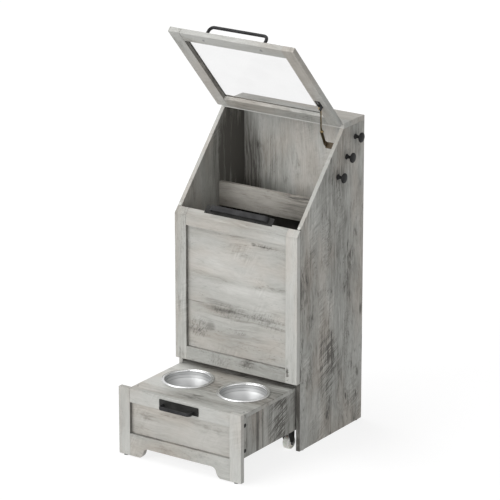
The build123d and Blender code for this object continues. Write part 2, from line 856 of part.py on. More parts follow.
def stay_side_bracket():
    """A plate out from the side panel below the link's pivot, an ear up to it, and a flange with screws."""
    s0 = side_plate_s - stay_plate_w / 2
    s1 = side_plate_s + stay_plate_w / 2
    plate = block(ear_x0, inner_x, s0, s1, side_plate_low, side_ear_low)
    ear = block(ear_x0, ear_x1, s0 + 3, s1 - 3, side_plate_low, -stay_foot_below + stay_link_w / 2)
    flange = block(inner_x - stay_t, inner_x, s0, s1, side_plate_low, side_plate_low + stay_flange_h)
    pin = rod((link_x0 - rivet_t, side_plate_s, -stay_foot_below), X_DIR, stay_pin_r, ear_x0 - link_x0 + rivet_t)
    rivet = rod((link_x0 - 0.3, side_plate_s, -stay_foot_below), -X_DIR, rivet_r, rivet_t)
    whole = slope_place(plate + ear + flange + pin + rivet)
    return cut(whole, stay_side_holes)


def stay_side_screw_parts(maker):
    parts = []
    out = side_plate_low + stay_flange_h * 0.55
    for shift in (-1, 1):
        seat = (inner_x - stay_t, side_plate_s + shift * stay_plate_w * 0.28, out)
        part = maker(seat, X_DIR, stay_screw_r, stay_screw_in, stay_screw_head_r, stay_screw_head_t)
        parts.append(slope_place(part))
    return parts


stay_side_holes = stay_side_screw_parts(screw_hole)
head_s = lid_rear_s - stay_head_from_end
head_out = lid_low - stay_head_below
lid_ear_x0 = stay_arm_top_x + stay_t / 2 + stay_gap
lid_ear_x1 = lid_ear_x0 + stay_t
lid_plate_x0 = stay_arm_top_x - stay_t / 2 - 10


def stay_lid_bracket():
    """A plate under the lid's stile with an ear down to the arm's pivot, in the sloped frame."""
    s0 = head_s - stay_plate_w * 1.1
    s1 = head_s + stay_plate_w / 2
    low = lid_low - stay_screw_head_t
    plate = block(lid_plate_x0, lid_ear_x1, s0, s1, low, lid_low)
    ear = block(lid_ear_x0, lid_ear_x1, head_s - 6, s1 - 3, head_out - 4.5, lid_low)
    pin_x = stay_arm_top_x - stay_t / 2 - 0.3
    pin = rod((pin_x, head_s, head_out), X_DIR, stay_pin_r, lid_ear_x0 - pin_x)
    rivet = rod((pin_x, head_s, head_out), -X_DIR, rivet_r, rivet_t)
    return cut(plate + ear + pin + rivet, stay_lid_holes)


def stay_lid_screw_parts(maker):
    parts = []
    x = (lid_plate_x0 + lid_ear_x0) / 2
    for s in (head_s - stay_plate_w * 0.5, head_s - stay_plate_w * 0.88):
        seat = (x, s, lid_low - stay_screw_head_t)
        head_t = stay_screw_head_t * 0.7
        parts.append(maker(seat, Z_DIR, stay_screw_r, stay_screw_in, stay_screw_head_r, head_t))
    return parts


stay_lid_holes = stay_lid_screw_parts(screw_hole)


# ---- Drawer --------------------------------------------------------------------------------------

drawer_back_face = drawer_y
drawer_rail_top_z = drawer_top_front - drawer_rail_top_h
drawer_rebate = centre_panel(
    front_inner_x,
    drawer_face + recess_depth,
    drawer_y,
    drawer_rail_bottom_z,
    drawer_rail_top_z,
    fit_gap,
)


def drawer_stile(side):
    x0, x1 = sorted((side * front_inner_x, side * half_w))
    plain = board(x0, x1, drawer_face, drawer_y, drawer_bottom, drawer_top_front)
    return cut(plain - drawer_rebate, drawer_fit.holes + drawer_glide_pins)


def drawer_rail_top():
    plain = board(
        -front_inner_x,
        front_inner_x,
        drawer_face,
        drawer_y,
        drawer_rail_top_z,
        drawer_top_front,
    )
    return cut(plain - drawer_rebate, pull_bolt_holes)


def drawer_rail_bottom():
    """The bottom rail: a low arch between two feet, its ends in an ogee curve."""
    z0, z1 = drawer_bottom, drawer_rail_bottom_z
    flat = arch_half - arch_run
    pieces = [Line((-front_inner_x, z1), (front_inner_x, z1))]
    for side in (1, -1):
        foot = side * arch_half
        mid = (side * (arch_half - arch_run * 0.45), (z0 + arch_z) / 2 + 2)
        pieces.append(Line((side * front_inner_x, z1), (side * front_inner_x, z0)))
        pieces.append(Line((side * front_inner_x, z0), (foot, z0)))
        pieces.append(ThreePointArc((foot, z0), (side * (arch_half - arch_run * 0.3), z0 + 8), mid))
        top_mid = (side * (arch_half - arch_run * 0.62), arch_z - 4)
        pieces.append(ThreePointArc(mid, top_mid, (side * flat, arch_z)))
    pieces.append(Line((-flat, arch_z), (flat, arch_z)))
    face = make_face(Curve() + pieces)
    plain = Plane.XZ.offset(-drawer_y) * extrude(face, drawer_front_t)
    return plain - drawer_rebate


def drawer_side(side):
    x0, x1 = sorted((side * drawer_in_x, side * drawer_half))
    plain = board(x0, x1, drawer_y, drawer_end, drawer_sides_z, drawer_board_z)
    return cut(plain, drawer_fit.holes + drawer_screw_holes)


def drawer_back_board():
    y0 = drawer_end - drawer_board_t
    plain = board(-drawer_in_x, drawer_in_x, y0, drawer_end, drawer_sides_z, drawer_board_z)
    return cut(plain, drawer_screw_holes + caster_screw_holes)


def caster_rail():
    y1 = drawer_end - drawer_board_t
    z1 = drawer_sides_z + drawer_board_t
    plain = board(-drawer_in_x, drawer_in_x, y1 - caster_rail_w, y1, drawer_sides_z, z1)
    return cut(plain, caster_screw_holes)


def bowl_holes():
    length = drawer_board_t + 2
    return [rod((side * bowl_x, bowl_y, drawer_board_z - 1), Z_DIR, bowl_hole_r, length) for side in (-1, 1)]


def drawer_top_board():
    plain = board(-drawer_half, drawer_half, drawer_y, drawer_end, drawer_board_z, drawer_top_z)
    return cut(plain, bowl_holes() + drawer_screw_holes)


def drawer_screw_parts(maker):
    """Screws down through the top board into the sides and the back board."""
    parts = []
    x = drawer_half - drawer_board_t / 2
    rows = (drawer_y + drawer_screw_front_in, drawer_end - drawer_screw_rear_in)
    places = [(side * x, y) for side in (-1, 1) for y in rows]
    places += [(side * x / 2, drawer_end - drawer_board_t / 2) for side in (-1, 1)]
    for px, py in places:
        seat = (px, py, drawer_top_z)
        parts.append(maker(seat, -Z_DIR, wood_screw_r, wood_screw_len, wood_screw_head_r, wood_screw_head_t))
    return parts


drawer_screw_holes = drawer_screw_parts(screw_hole)


def back_screw_parts(maker):
    """Screws through the back panel into the rebates' shoulders."""
    parts = []
    x = inner_x + back_rebate / 2
    low = storage_floor_z - drawer_top_z + back_screw_in
    rows = 4
    for side in (-1, 1):
        for i in range(rows):
            z = low + (top_under - back_screw_in - low) * i / (rows - 1)
            seat = (side * x, cabinet_depth, z)
            parts.append(maker(seat, -Y_DIR, wood_screw_r, wood_screw_len, back_rebate / 2 - 0.4, wood_screw_head_t))
    return parts


back_screw_holes = back_screw_parts(screw_hole)

drawer_pull_z = (drawer_rail_top_z + drawer_top_front) / 2


def drawer_pull_plate():
    half = drawer_pull_len / 2
    z0 = drawer_pull_z - drawer_pull_h / 2
    y0 = drawer_face - drawer_pull_t
    plain = block(-half, half, y0, drawer_face, z0, z0 + drawer_pull_h)
    return cut(plain, pull_bolt_holes)


def drawer_pull_strap():
    bow = strap(drawer_pull_span, drawer_pull_reach, strap_w, strap_t, strap_bend)
    origin = (0, drawer_face - drawer_pull_t, drawer_pull_z - drawer_pull_drop)
    plane = Plane(origin=origin, x_dir=(1, 0, 0), z_dir=(0, -1, 0))
    return plane.location * bow


def pull_bolt_parts(maker):
    """Bolts from inside the drawer, through the rail into the back plate, clear of the strap."""
    parts = []
    for side in (-1, 1):
        seat = (side * (drawer_pull_len / 2 - 7), drawer_y, drawer_pull_z)
        length = drawer_front_t - bolt_head_t + drawer_pull_t * 0.5
        parts.append(maker(seat, -Y_DIR, handle_bolt_r, length, bolt_head_r, bolt_head_t))
    return parts


pull_bolt_holes = pull_bolt_parts(screw_hole)


def drawer_glide_parts(grow):
    parts = []
    for side in (-1, 1):
        place = (side * drawer_glide_x, drawer_face + drawer_front_t / 2, drawer_bottom)
        parts.append(rod(place, Z_DIR, 1.5 + grow, 8 + grow))
    return parts


drawer_glide_pins = drawer_glide_parts(fit_gap)


def drawer_glides():
    """Round floor glides with a spike each, under the drawer front's stiles."""
    feet = []
    for side, spike in zip((-1, 1), drawer_glide_parts(0)):
        place = (side * drawer_glide_x, drawer_face + drawer_front_t / 2, 0)
        feet.append(rod(place, Z_DIR, drawer_glide_r, drawer_bottom) + spike)
    return feet


# ---- Bowls ---------------------------------------------------------------------------------------

def bowl(side):
    """A drawn steel bowl hung by its rolled rim in the drawer's top."""
    rim_z = drawer_top_z
    top = rim_z + bowl_rim_h
    low = top - bowl_depth
    wall = bowl_wall
    outer = [
        (0, low),
        (bowl_foot_r - bowl_foot_round, low),
        (bowl_foot_r, low + bowl_foot_round),
        (bowl_mouth_r, rim_z - 1),
        (bowl_mouth_r, rim_z),
        (bowl_rim_r - 1, rim_z),
        (bowl_rim_r, rim_z + 1),
        (bowl_rim_r, top - 1),
        (bowl_rim_r - 1, top),
        (bowl_mouth_r, top),
        (bowl_mouth_r - wall, rim_z),
        (bowl_foot_r - wall, low + bowl_foot_round),
        (bowl_foot_r - bowl_foot_round, low + wall),
        (0, low + wall),
    ]
    face = make_face(Polyline(*outer, close=True))
    shell = revolve(Plane.XZ * face, Axis.Z)
    return Pos(side * bowl_x, bowl_y, 0) * shell


# ---- Casters -------------------------------------------------------------------------------------

fork_in = wheel_w / 2 + hub_proud + fork_gap
fork_out = fork_in + fork_t
plate_z = drawer_sides_z - caster_plate_t


def caster_fork(side):
    """A rigid caster's bent fork: a top plate and two cheeks."""
    x = side * caster_x
    plate = block(
        x - caster_plate_len / 2,
        x + caster_plate_len / 2,
        caster_plate_y - caster_plate_w / 2,
        caster_plate_y + caster_plate_w / 2,
        plate_z,
        drawer_sides_z,
    )
    whole = fillet(plate.edges().filter_by(Axis.Z), 3)
    cheek_outline = [
        (caster_plate_y - fork_top_w / 2, plate_z),
        (caster_plate_y + fork_top_w / 2, plate_z),
        (caster_y + fork_w / 2, wheel_r),
        (caster_y - fork_w / 2, wheel_r),
    ]
    for cheek in (-1, 1):
        x0, x1 = sorted((x + cheek * fork_in, x + cheek * fork_out))
        arm = side_profile(cheek_outline, x0, x1)
        whole = whole + arm + rod((x0, caster_y, wheel_r), X_DIR, fork_w / 2, fork_t)
    bore = rod((x - fork_out - 1, caster_y, wheel_r), X_DIR, axle_r + fit_gap, 2 * fork_out + 2)
    return cut(whole - bore, caster_screw_holes)


def caster_axle(side):
    x = side * caster_x
    shank = rod((x - fork_out, caster_y, wheel_r), X_DIR, axle_r, 2 * fork_out)
    left = rod((x - fork_out, caster_y, wheel_r), -X_DIR, axle_head_r, axle_head_t)
    right = rod((x + fork_out, caster_y, wheel_r), X_DIR, axle_head_r, axle_head_t)
    return shank + left + right


def caster_wheel(side):
    """A solid wheel with rounded shoulders and a proud hub on the axle."""
    x = side * caster_x
    tread = rod((x - wheel_w / 2, caster_y, wheel_r), X_DIR, wheel_r, wheel_w)
    tread = fillet(tread.edges(), wheel_round)
    hub_half = wheel_w / 2 + hub_proud
    hub = rod((x - hub_half, caster_y, wheel_r), X_DIR, hub_r, 2 * hub_half)
    dish_r = wheel_r - wheel_round - 2
    whole = tread
    for cheek in (-1, 1):
        start = x + cheek * wheel_w / 2
        ring = rod((start, caster_y, wheel_r), X_DIR * -cheek, dish_r, 1.5)
        whole = whole - ring
    whole = whole + hub
    return whole - rod((x - hub_half - 1, caster_y, wheel_r), X_DIR, axle_r + axle_clear, 2 * hub_half + 2)


def caster_screw_parts(maker):
    parts = []
    for side in (-1, 1):
        for dx in (-1, 1):
            for dy in (-1, 1):
                seat = (
                    side * caster_x + dx * caster_screw_x,
                    caster_plate_y + dy * (caster_plate_w / 2 - caster_screw_edge),
                    plate_z,
                )
                head_t = caster_plate_t * 0.6
                parts.append(maker(seat, Z_DIR, caster_screw_r, caster_screw_in, wood_screw_head_r, head_t))
    return parts


caster_screw_holes = caster_screw_parts(screw_hole)


# ---- The nodes -----------------------------------------------------------------------------------

def build():
    """Every node of the model: its name and its solid or group of solids."""
    nodes = {}
    for side, word in ((-1, "left"), (1, "right")):
        panel = cut(side_panel(side), back_screw_holes)
        if side > 0:
            panel = cut(panel, hook_holes() + stay_side_holes)
        nodes[f"{word}_side_panel"] = panel
        nodes[f"front_{word}_stile"] = front_stile(side)
        nodes[f"lid_{word}_stile"] = lid_place(lid_stile(side))
        nodes[f"drawer_{word}_stile"] = drawer_stile(side)
        nodes[f"drawer_{word}_side"] = drawer_side(side)
        nodes[f"bowl_{word}"] = bowl(side)
        nodes[f"caster_wheel_{word}"] = caster_wheel(side)

    nodes["top_board"] = cut(top_board(), fixed_screw_holes)
    nodes["back_panel"] = cut(back_panel(), back_screw_holes)
    nodes["storage_floor"] = storage_floor()
    nodes["shelf_board"] = shelf_board()
    nodes["shelf_apron"] = shelf_apron()
    nodes["front_centre_panel"] = centre_panel(
        front_inner_x, recess_depth, front_t, front_panel_z0, front_panel_z1
    )
    nodes["front_top_rail"] = front_rail_top()
    nodes["front_bottom_rail"] = front_rail_bottom()
    nodes["pull_cleat"] = pull_cleat()
    nodes["top_pull_plate"] = top_pull_plate()
    nodes["top_pull_strap"] = top_pull_strap()
    nodes["side_hooks"] = [hook(y, z) for y, z in hook_places()]
    nodes["cabinet_glides"] = cabinet_glides()
    nodes["lid_bumpers"] = lid_bumpers()
    nodes["cabinet_cams"] = cabinet_fit.cams
    nodes["cabinet_cam_bolts"] = cabinet_fit.bolts
    nodes["back_panel_screws"] = back_screw_parts(screw)
    nodes["fitting_screws"] = (
        top_pull_screw_parts(screw) + fixed_screw_parts(screw) + stay_side_screw_parts(screw)
    )

    nodes["hinge_fixed_leaves"] = [hinge_fixed_leaf(cx) for cx in hinge_centres()]
    nodes["hinge_pins"] = [hinge_pin(cx) for cx in hinge_centres()]
    nodes["stay_side_bracket"] = stay_side_bracket()
    nodes["stay_link"] = stay_link()
    nodes["stay_arm"] = stay_arm()

    nodes["lid_front_rail"] = lid_place(lid_rail(lid_front_s, window_front_s))
    nodes["lid_rear_rail"] = lid_place(lid_rail(window_rear_s, lid_rear_s))
    nodes["lid_window_pane"] = lid_place(pane_block(0))
    nodes["lid_dowels"] = [lid_place(part) for part in lid_dowel_parts(dowel_r, dowel_half)]
    nodes["lid_handle"] = lid_place(lid_handle())
    nodes["hinge_lid_leaves"] = [lid_place(hinge_lid_leaf(cx)) for cx in hinge_centres()]
    lid_screws = lid_screw_parts(screw) + stay_lid_screw_parts(screw) + handle_bolt_parts(screw, 0)
    nodes["lid_screws"] = [lid_place(part) for part in lid_screws]
    nodes["stay_lid_bracket"] = lid_place(stay_lid_bracket())

    nodes["drawer_centre_panel"] = centre_panel(
        front_inner_x, drawer_face + recess_depth, drawer_y, drawer_rail_bottom_z, drawer_rail_top_z
    )
    nodes["drawer_top_rail"] = drawer_rail_top()
    nodes["drawer_bottom_rail"] = drawer_rail_bottom()
    nodes["drawer_back_board"] = drawer_back_board()
    nodes["drawer_top_board"] = drawer_top_board()
    nodes["caster_rail"] = caster_rail()
    nodes["drawer_pull_plate"] = drawer_pull_plate()
    nodes["drawer_pull_strap"] = drawer_pull_strap()
    nodes["drawer_cams"] = drawer_fit.cams
    nodes["drawer_cam_bolts"] = drawer_fit.bolts
    nodes["drawer_glides"] = drawer_glides()
    nodes["caster_forks"] = [caster_fork(side) for side in (-1, 1)]
    nodes["caster_axles"] = [caster_axle(side) for side in (-1, 1)]
    nodes["drawer_screws"] = (
        drawer_screw_parts(screw) + caster_screw_parts(screw) + pull_bolt_parts(screw)
    )
    return nodes


def solids_of(item):
    """The solids of a part or of a list of parts."""
    items = item if isinstance(item, list) else [item]
    found = []
    for one in items:
        found += list(one.solids())
    return found


os.makedirs("parts", exist_ok=True)
shift = Location((-origin_x, -origin_y, 0))
for name, item in build().items():
    solids = [shift * solid for solid in solids_of(item)]
    shape = solids[0] if len(solids) == 1 else Compound(children=solids)
    export_step(shape, f"parts/{name}.step")
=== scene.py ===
import math

import bpy
import numpy as np
from bpy.props import FloatProperty, FloatVectorProperty, PointerProperty
from mathutils import Matrix, Vector


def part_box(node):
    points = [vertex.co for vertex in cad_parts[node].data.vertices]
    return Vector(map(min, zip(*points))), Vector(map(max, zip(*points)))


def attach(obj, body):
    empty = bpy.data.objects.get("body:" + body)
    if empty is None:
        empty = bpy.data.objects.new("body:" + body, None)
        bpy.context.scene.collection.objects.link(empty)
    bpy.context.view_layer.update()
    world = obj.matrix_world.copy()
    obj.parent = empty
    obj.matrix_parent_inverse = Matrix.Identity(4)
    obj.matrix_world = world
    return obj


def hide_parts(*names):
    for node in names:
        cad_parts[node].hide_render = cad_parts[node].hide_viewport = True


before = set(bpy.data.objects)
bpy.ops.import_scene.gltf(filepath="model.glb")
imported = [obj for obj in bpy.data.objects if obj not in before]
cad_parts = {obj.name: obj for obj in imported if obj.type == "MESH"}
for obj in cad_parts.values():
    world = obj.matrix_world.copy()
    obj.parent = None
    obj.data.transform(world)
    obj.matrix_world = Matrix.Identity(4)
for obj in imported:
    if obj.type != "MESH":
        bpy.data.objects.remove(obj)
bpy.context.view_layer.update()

bl_info = {
    "name": "Dog feeder cabinet",
    "version": (1, 0, 0),
    "blender": (4, 5, 0),
    "location": "View3D > Sidebar > Feeder",
    "description": "Dresses the dog feeder cabinet: oak-look boards, pulls, bowls, casters and the stage",
    "category": "Object",
}

MM = 0.001
AXES = {"X": 0, "Y": 1, "Z": 2}
RIGHT = Vector((1, 0, 0))
BACK = Vector((0, 1, 0))
UP = Vector((0, 0, 1))
SAME_PLACE = 0.01 * MM      # points closer than this are one point
END_BAND = 0.2 * MM         # a turned solid's end is what lies this close to its last point
SOFT_EDGE = 35              # degrees: edges up to this are shaded smooth


# ---- Places read from the frame ----

def vertices_of(node):
    """A node's vertices, as an array."""
    return np.array([v.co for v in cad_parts[node].data.vertices], float).reshape(-1, 3)


def middle(values):
    """Halfway between the least and the greatest of some numbers or points."""
    return (values.min(0) + values.max(0)) / 2


def islands(node):
    """The vertices of each separate solid in a node."""
    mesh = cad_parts[node].data
    points = vertices_of(node)
    keys = {}
    cells = np.round(points / SAME_PLACE).astype(int).tolist()
    merged = [keys.setdefault(tuple(cell), len(keys)) for cell in cells]
    parent = list(range(len(keys)))

    def root(i):
        while parent[i] != i:
            parent[i] = parent[parent[i]]
            i = parent[i]
        return i

    for polygon in mesh.polygons:
        corners = [root(merged[v]) for v in polygon.vertices]
        for other in corners[1:]:
            parent[root(other)] = root(corners[0])
    groups = {}
    for index, key in enumerate(merged):
        groups.setdefault(root(key), []).append(index)
    solids = [points[group] for group in groups.values()]
    return sorted(solids, key=lambda solid: tuple(np.round(solid.mean(0), 4)))


def turned(points):
    """For a turned solid: the middle of its wide end, the way from there to its other end, its radius there
    and its length."""
    spread = points - points.mean(0)
    best = None
    for axis in np.linalg.svd(spread, full_matrices=False)[2]:
        along = spread @ axis
        across = spread - np.outer(along, axis)
        radii = np.linalg.norm(across - middle(across), axis=1)
        first = radii[along < along.min() + END_BAND]
        last = radii[along > along.max() - END_BAND]
        unevenness = np.ptp(np.round(last, 5))
        if best is None or unevenness < best[0]:
            best = (unevenness, axis, first.max(), last.max(), np.ptp(along))
    _, axis, first_radius, last_radius, length = best
    if first_radius > last_radius:
        axis = -axis
    seat = middle(points) + axis * length / 2
    return Vector(seat), Vector(-axis), float(max(first_radius, last_radius)), float(length)


def positive(way, axis):
    """A direction, or its opposite if it points backwards along an axis."""
    return way if way[AXES[axis]] > 0 else -way


def face_normal(node, axis):
    """The way that a flat node's widest face looks, taken forwards along an axis."""
    widest = max(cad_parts[node].data.polygons, key=lambda polygon: polygon.area)
    return positive(widest.normal.copy(), axis)


FRONT_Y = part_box("front_left_stile")[0].y
CENTRE_X = (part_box("left_side_panel")[0].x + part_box("right_side_panel")[1].x) / 2
CABINET = Vector((CENTRE_X, FRONT_Y, 0))
LID_NORMAL = face_normal("lid_window_pane", "Y")
LID_UP = positive(RIGHT.cross(LID_NORMAL), "Z")     # from the lid's hinge end to its handle end
LID_TILT = math.atan2(LID_NORMAL.z, LID_NORMAL.y)


# ---- Mesh helpers ----

def mesh_object(name, points, faces, material, sharp=SOFT_EDGE):
    """A mesh object, smooth but for edges sharper than an angle in degrees."""
    mesh = bpy.data.meshes.new(name)
    mesh.from_pydata([tuple(p) for p in points], [], faces)
    mesh.validate()
    mesh.polygons.foreach_set("use_smooth", [True] * len(mesh.polygons))
    mesh.set_sharp_from_angle(angle=math.radians(sharp))
    mesh.materials.append(material)
    piece = bpy.data.objects.new(name, mesh)
    bpy.context.scene.collection.objects.link(piece)
    return piece


def joined(parts):
    """Several sets of points and faces as one."""
    points = []
    faces = []
    for more_points, more_faces in parts:
        shift = len(points)
        points += more_points
        faces += [[index + shift for index in face] for face in more_faces]
    return points, faces


def add_piece(name, parts, material, body, node, sharp=SOFT_EDGE):
    """A piece made of sets of points and faces: it rides on its body and stands for a CAD node."""
    piece = mesh_object(name, *joined(parts), material, sharp)
    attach(piece, body)
    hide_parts(node)
    return piece


def set_material(node, material):
    """Gives a CAD node its material."""
    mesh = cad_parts[node].data
    mesh.materials.clear()
    mesh.materials.append(material)


def basis(origin, x_axis, y_axis):
    """A matrix that puts local x and y along two directions at a point."""
    x = x_axis.normalized()
    z = x.cross(y_axis).normalized()
    y = z.cross(x)
    matrix = Matrix((x, y, z)).transposed().to_4x4()
    matrix.translation = Vector(origin)
    return matrix


def along_z(origin, z_axis):
    """A matrix that puts local z along a direction at a point."""
    z = z_axis.normalized()
    side = RIGHT if abs(z.x) < 0.9 else BACK
    x = side.cross(z).normalized()
    return basis(origin, x, z.cross(x))


def circle(radius, steps):
    """Points round a circle, as (x, y) pairs."""
    turns = [2 * math.pi * i / steps for i in range(steps)]
    return [(radius * math.cos(turn), radius * math.sin(turn)) for turn in turns]


def arc(centre, radius, start, end, steps):
    """Points on an arc, angles in degrees from the first axis."""
    points = []
    for i in range(steps + 1):
        turn = math.radians(start + (end - start) * i / steps)
        points.append((centre[0] + radius * math.cos(turn), centre[1] + radius * math.sin(turn)))
    return points


def lathe_parts(profile, steps, matrix):
    """Points and faces of a turned form: profile is (radius, height) pairs, turned about local z."""
    points = []
    faces = []
    rings = []
    for radius, height in profile:
        ring = circle(radius, steps) if radius > 0 else [(0, 0)]
        rings.append(range(len(points), len(points) + len(ring)))
        points += [matrix @ Vector((x, y, height)) for x, y in ring]
    for lower, upper in zip(rings, rings[1:]):
        for i in range(steps):
            j = (i + 1) % steps
            corners = ((lower, i), (lower, j), (upper, j), (upper, i))
            face = dict.fromkeys(ring[step % len(ring)] for ring, step in corners)
            if len(face) > 2:
                faces.append(list(face))
    return points, faces


def closed_skin(count, rings):
    """Faces over rings of points, as many in each, and over both ends."""
    faces = []
    last = (rings - 1) * count
    for start in range(0, last, count):
        for j in range(count):
            k = (j + 1) % count
            faces.append([start + j, start + k, start + count + k, start + count + j])
    return faces + [list(range(count))[::-1], list(range(last, last + count))]


def sweep_parts(path, section, width_way):
    """Points and faces of a bar: a closed section drawn along a flat path, its width kept on one way."""
    width = width_way.normalized()
    points = []
    for i, spot in enumerate(path):
        ahead = path[min(i + 1, len(path) - 1)] - path[max(i - 1, 0)]
        normal = ahead.normalized().cross(width)
        points += [spot + width * u + normal * v for u, v in section]
    return points, closed_skin(len(section), len(path))


def bent(corners, radius, steps):
    """A path through corners, each inner corner rounded."""
    path = [corners[0]]
    for before, corner, after in zip(corners, corners[1:], corners[2:]):
        back = (before - corner).normalized()
        on = (after - corner).normalized()
        half = back.angle(on) / 2
        reach = radius / math.tan(half)
        centre = corner + (back + on).normalized() * (radius / math.sin(half))
        start = corner + back * reach
        end = corner + on * reach
        sweep = (start - centre).angle(end - centre)
        for i in range(steps + 1):
            share = i / steps
            first = math.sin((1 - share) * sweep) / math.sin(sweep)
            last = math.sin(share * sweep) / math.sin(sweep)
            path.append(centre + (start - centre) * first + (end - centre) * last)
    path.append(corners[-1])
    return path


def soft_rectangle(width, height, radius, steps=4):
    """A rectangle's outline with rounded corners."""
    outline = []
    for quarter, (sx, sy) in enumerate(((1, 1), (-1, 1), (-1, -1), (1, -1))):
        for i in range(steps + 1):
            turn = math.pi / 2 * (quarter + i / steps)
            x = sx * (width / 2 - radius) + radius * math.cos(turn)
            y = sy * (height / 2 - radius) + radius * math.sin(turn)
            outline.append((x, y))
    return outline


def plate_parts(width, height, thickness, corner, edge, matrix):
    """A flat plate with rounded corners and softly rounded rims: its back on local z = 0."""
    outline = soft_rectangle(width, height, corner)
    rim = [(edge, 0.0), (0.3 * edge, 0.3 * edge), (0.0, edge)]
    levels = rim + [(inset, thickness - level) for inset, level in rim[::-1]]
    points = []
    for inset, level in levels:
        across = (width / 2 - inset) / (width / 2)
        along = (height / 2 - inset) / (height / 2)
        points += [matrix @ Vector((x * across, y * along, level)) for x, y in outline]
    return points, closed_skin(len(outline), len(levels))


def cross_head_parts(radius, slot_length, slot_width, depth, rim, matrix):
    """A round head with a cross cut into it: local z points out of it, its face on z = 0."""
    steps = 24
    taper = 0.8
    a = slot_length / 2
    b = slot_width / 2
    cross = [
        (a, -b), (a, b), (b, b), (b, a), (-b, a), (-b, b),
        (-a, b), (-a, -b), (-b, -b), (-b, -a), (b, -a), (b, -b),
    ]
    corners = len(cross)
    points = [Vector((x, y, 0)) for x, y in circle(radius - rim, steps) + cross]
    points += [Vector((x * taper, y * taper, -depth)) for x, y in cross]
    points += [Vector((x, y, -rim)) for x, y in circle(radius, steps)]
    top = list(range(steps, steps + corners))
    bottom = list(range(steps + corners, steps + 2 * corners))
    lip = steps + 2 * corners

    turns = [math.atan2(y, x) % (2 * math.pi) for x, y in cross]
    order = sorted(range(corners), key=lambda place: turns[place])
    faces = []
    i = j = 0
    while i < steps or j < corners:
        outer_next = 2 * math.pi * (i + 1) / steps
        inner_next = turns[order[(j + 1) % corners]] + (2 * math.pi if j + 1 >= corners else 0)
        inner = top[order[j % corners]]
        if j >= corners or (i < steps and outer_next <= inner_next):
            faces.append([i % steps, (i + 1) % steps, inner])
            i += 1
        else:
            faces.append([i % steps, top[order[(j + 1) % corners]], inner])
            j += 1
    for k in range(corners):
        m = (k + 1) % corners
        faces.append([top[k], top[m], bottom[m], bottom[k]])
    faces.append(bottom)
    for i in range(steps):
        k = (i + 1) % steps
        faces.append([i, lip + i, lip + k, k])
    return [matrix @ point for point in points], faces


# ---- Material helpers ----

class Nodes:
    """Short names for building a node tree."""

    def __init__(self, tree):
        tree.nodes.clear()
        self.tree = tree

    def add(self, kind, inputs=None, **settings):
        """A new node with its settings, its inputs fed by name or place."""
        node = self.tree.nodes.new(kind)
        for key, value in settings.items():
            setattr(node, key, value)
        for key, value in (inputs or {}).items():
            self.feed(node.inputs[key], value)
        return node

    def feed(self, socket, value):
        """Links an output to an input, or sets a number or colour on it."""
        if isinstance(value, bpy.types.NodeSocket):
            self.tree.links.new(value, socket)
        else:
            socket.default_value = value

    def math(self, operation, *values, clamp=False):
        inputs = dict(enumerate(values))
        return self.add("ShaderNodeMath", inputs, operation=operation, use_clamp=clamp).outputs[0]

    def plus(self, a, b, clamp=False):
        return self.math("ADD", a, b, clamp=clamp)

    def minus(self, a, b):
        return self.math("SUBTRACT", a, b)

    def times(self, a, b):
        return self.math("MULTIPLY", a, b)

    def times_plus(self, a, b, c):
        return self.math("MULTIPLY_ADD", a, b, c)

    def apart(self, a, b):
        """How far two numbers are from each other."""
        return self.math("ABSOLUTE", self.minus(a, b))

    def vector(self, operation, *values):
        return self.add("ShaderNodeVectorMath", dict(enumerate(values)), operation=operation).outputs

    def stretch(self, vector, scale, shift=(0, 0, 0)):
        """A vector scaled along each axis, then shifted."""
        return self.vector("MULTIPLY_ADD", vector, scale, shift)[0]

    def turn(self, vector, angle, axis):
        """A vector turned about an axis, by an angle in radians."""
        angles = [angle if letter == axis else 0 for letter in AXES]
        return self.add("ShaderNodeMapping", {"Vector": vector, "Rotation": angles}).outputs[0]

    def split(self, vector):
        """A vector's three numbers."""
        return self.add("ShaderNodeSeparateXYZ", {0: vector}).outputs

    def combine(self, *values):
        """A vector from its numbers."""
        return self.add("ShaderNodeCombineXYZ", dict(enumerate(values))).outputs[0]

    def place(self):
        """The place on the object, in its own frame."""
        return self.add("ShaderNodeTexCoord").outputs["Object"]

    def noise(self, vector, scale=1.0, detail=2.0, rough=0.5, distortion=0.0):
        inputs = {"Vector": vector, "Scale": scale, "Detail": detail, "Roughness": rough}
        inputs["Distortion"] = distortion
        return self.add("ShaderNodeTexNoise", inputs, noise_dimensions="3D").outputs["Fac"]

    def streaks(self, vector, scale, shift=(0, 0, 0), **how):
        """Noise that is stretched along each axis."""
        return self.noise(self.stretch(vector, scale, shift), **how)

    def span(self, value, low, high, to_low=0.0, to_high=1.0, smooth=True):
        """Maps a range to another, clamped."""
        inputs = {"Value": value, "From Min": low, "From Max": high, "To Min": to_low, "To Max": to_high}
        kind = "SMOOTHSTEP" if smooth else "LINEAR"
        return self.add("ShaderNodeMapRange", interpolation_type=kind, inputs=inputs).outputs["Result"]

    def mix(self, share, a, b):
        """A blend of two colours."""
        node = self.add("ShaderNodeMix", {0: share}, data_type="RGBA")
        colours = [socket for socket in node.inputs if socket.type == "RGBA"]
        for socket, value in zip(colours, (a, b)):
            self.feed(socket, value if isinstance(value, bpy.types.NodeSocket) else (*value, 1.0))
        return [socket for socket in node.outputs if socket.type == "RGBA"][0]

    def bump(self, height, strength, distance):
        inputs = {"Height": height, "Strength": strength, "Distance": distance}
        return self.add("ShaderNodeBump", inputs).outputs["Normal"]


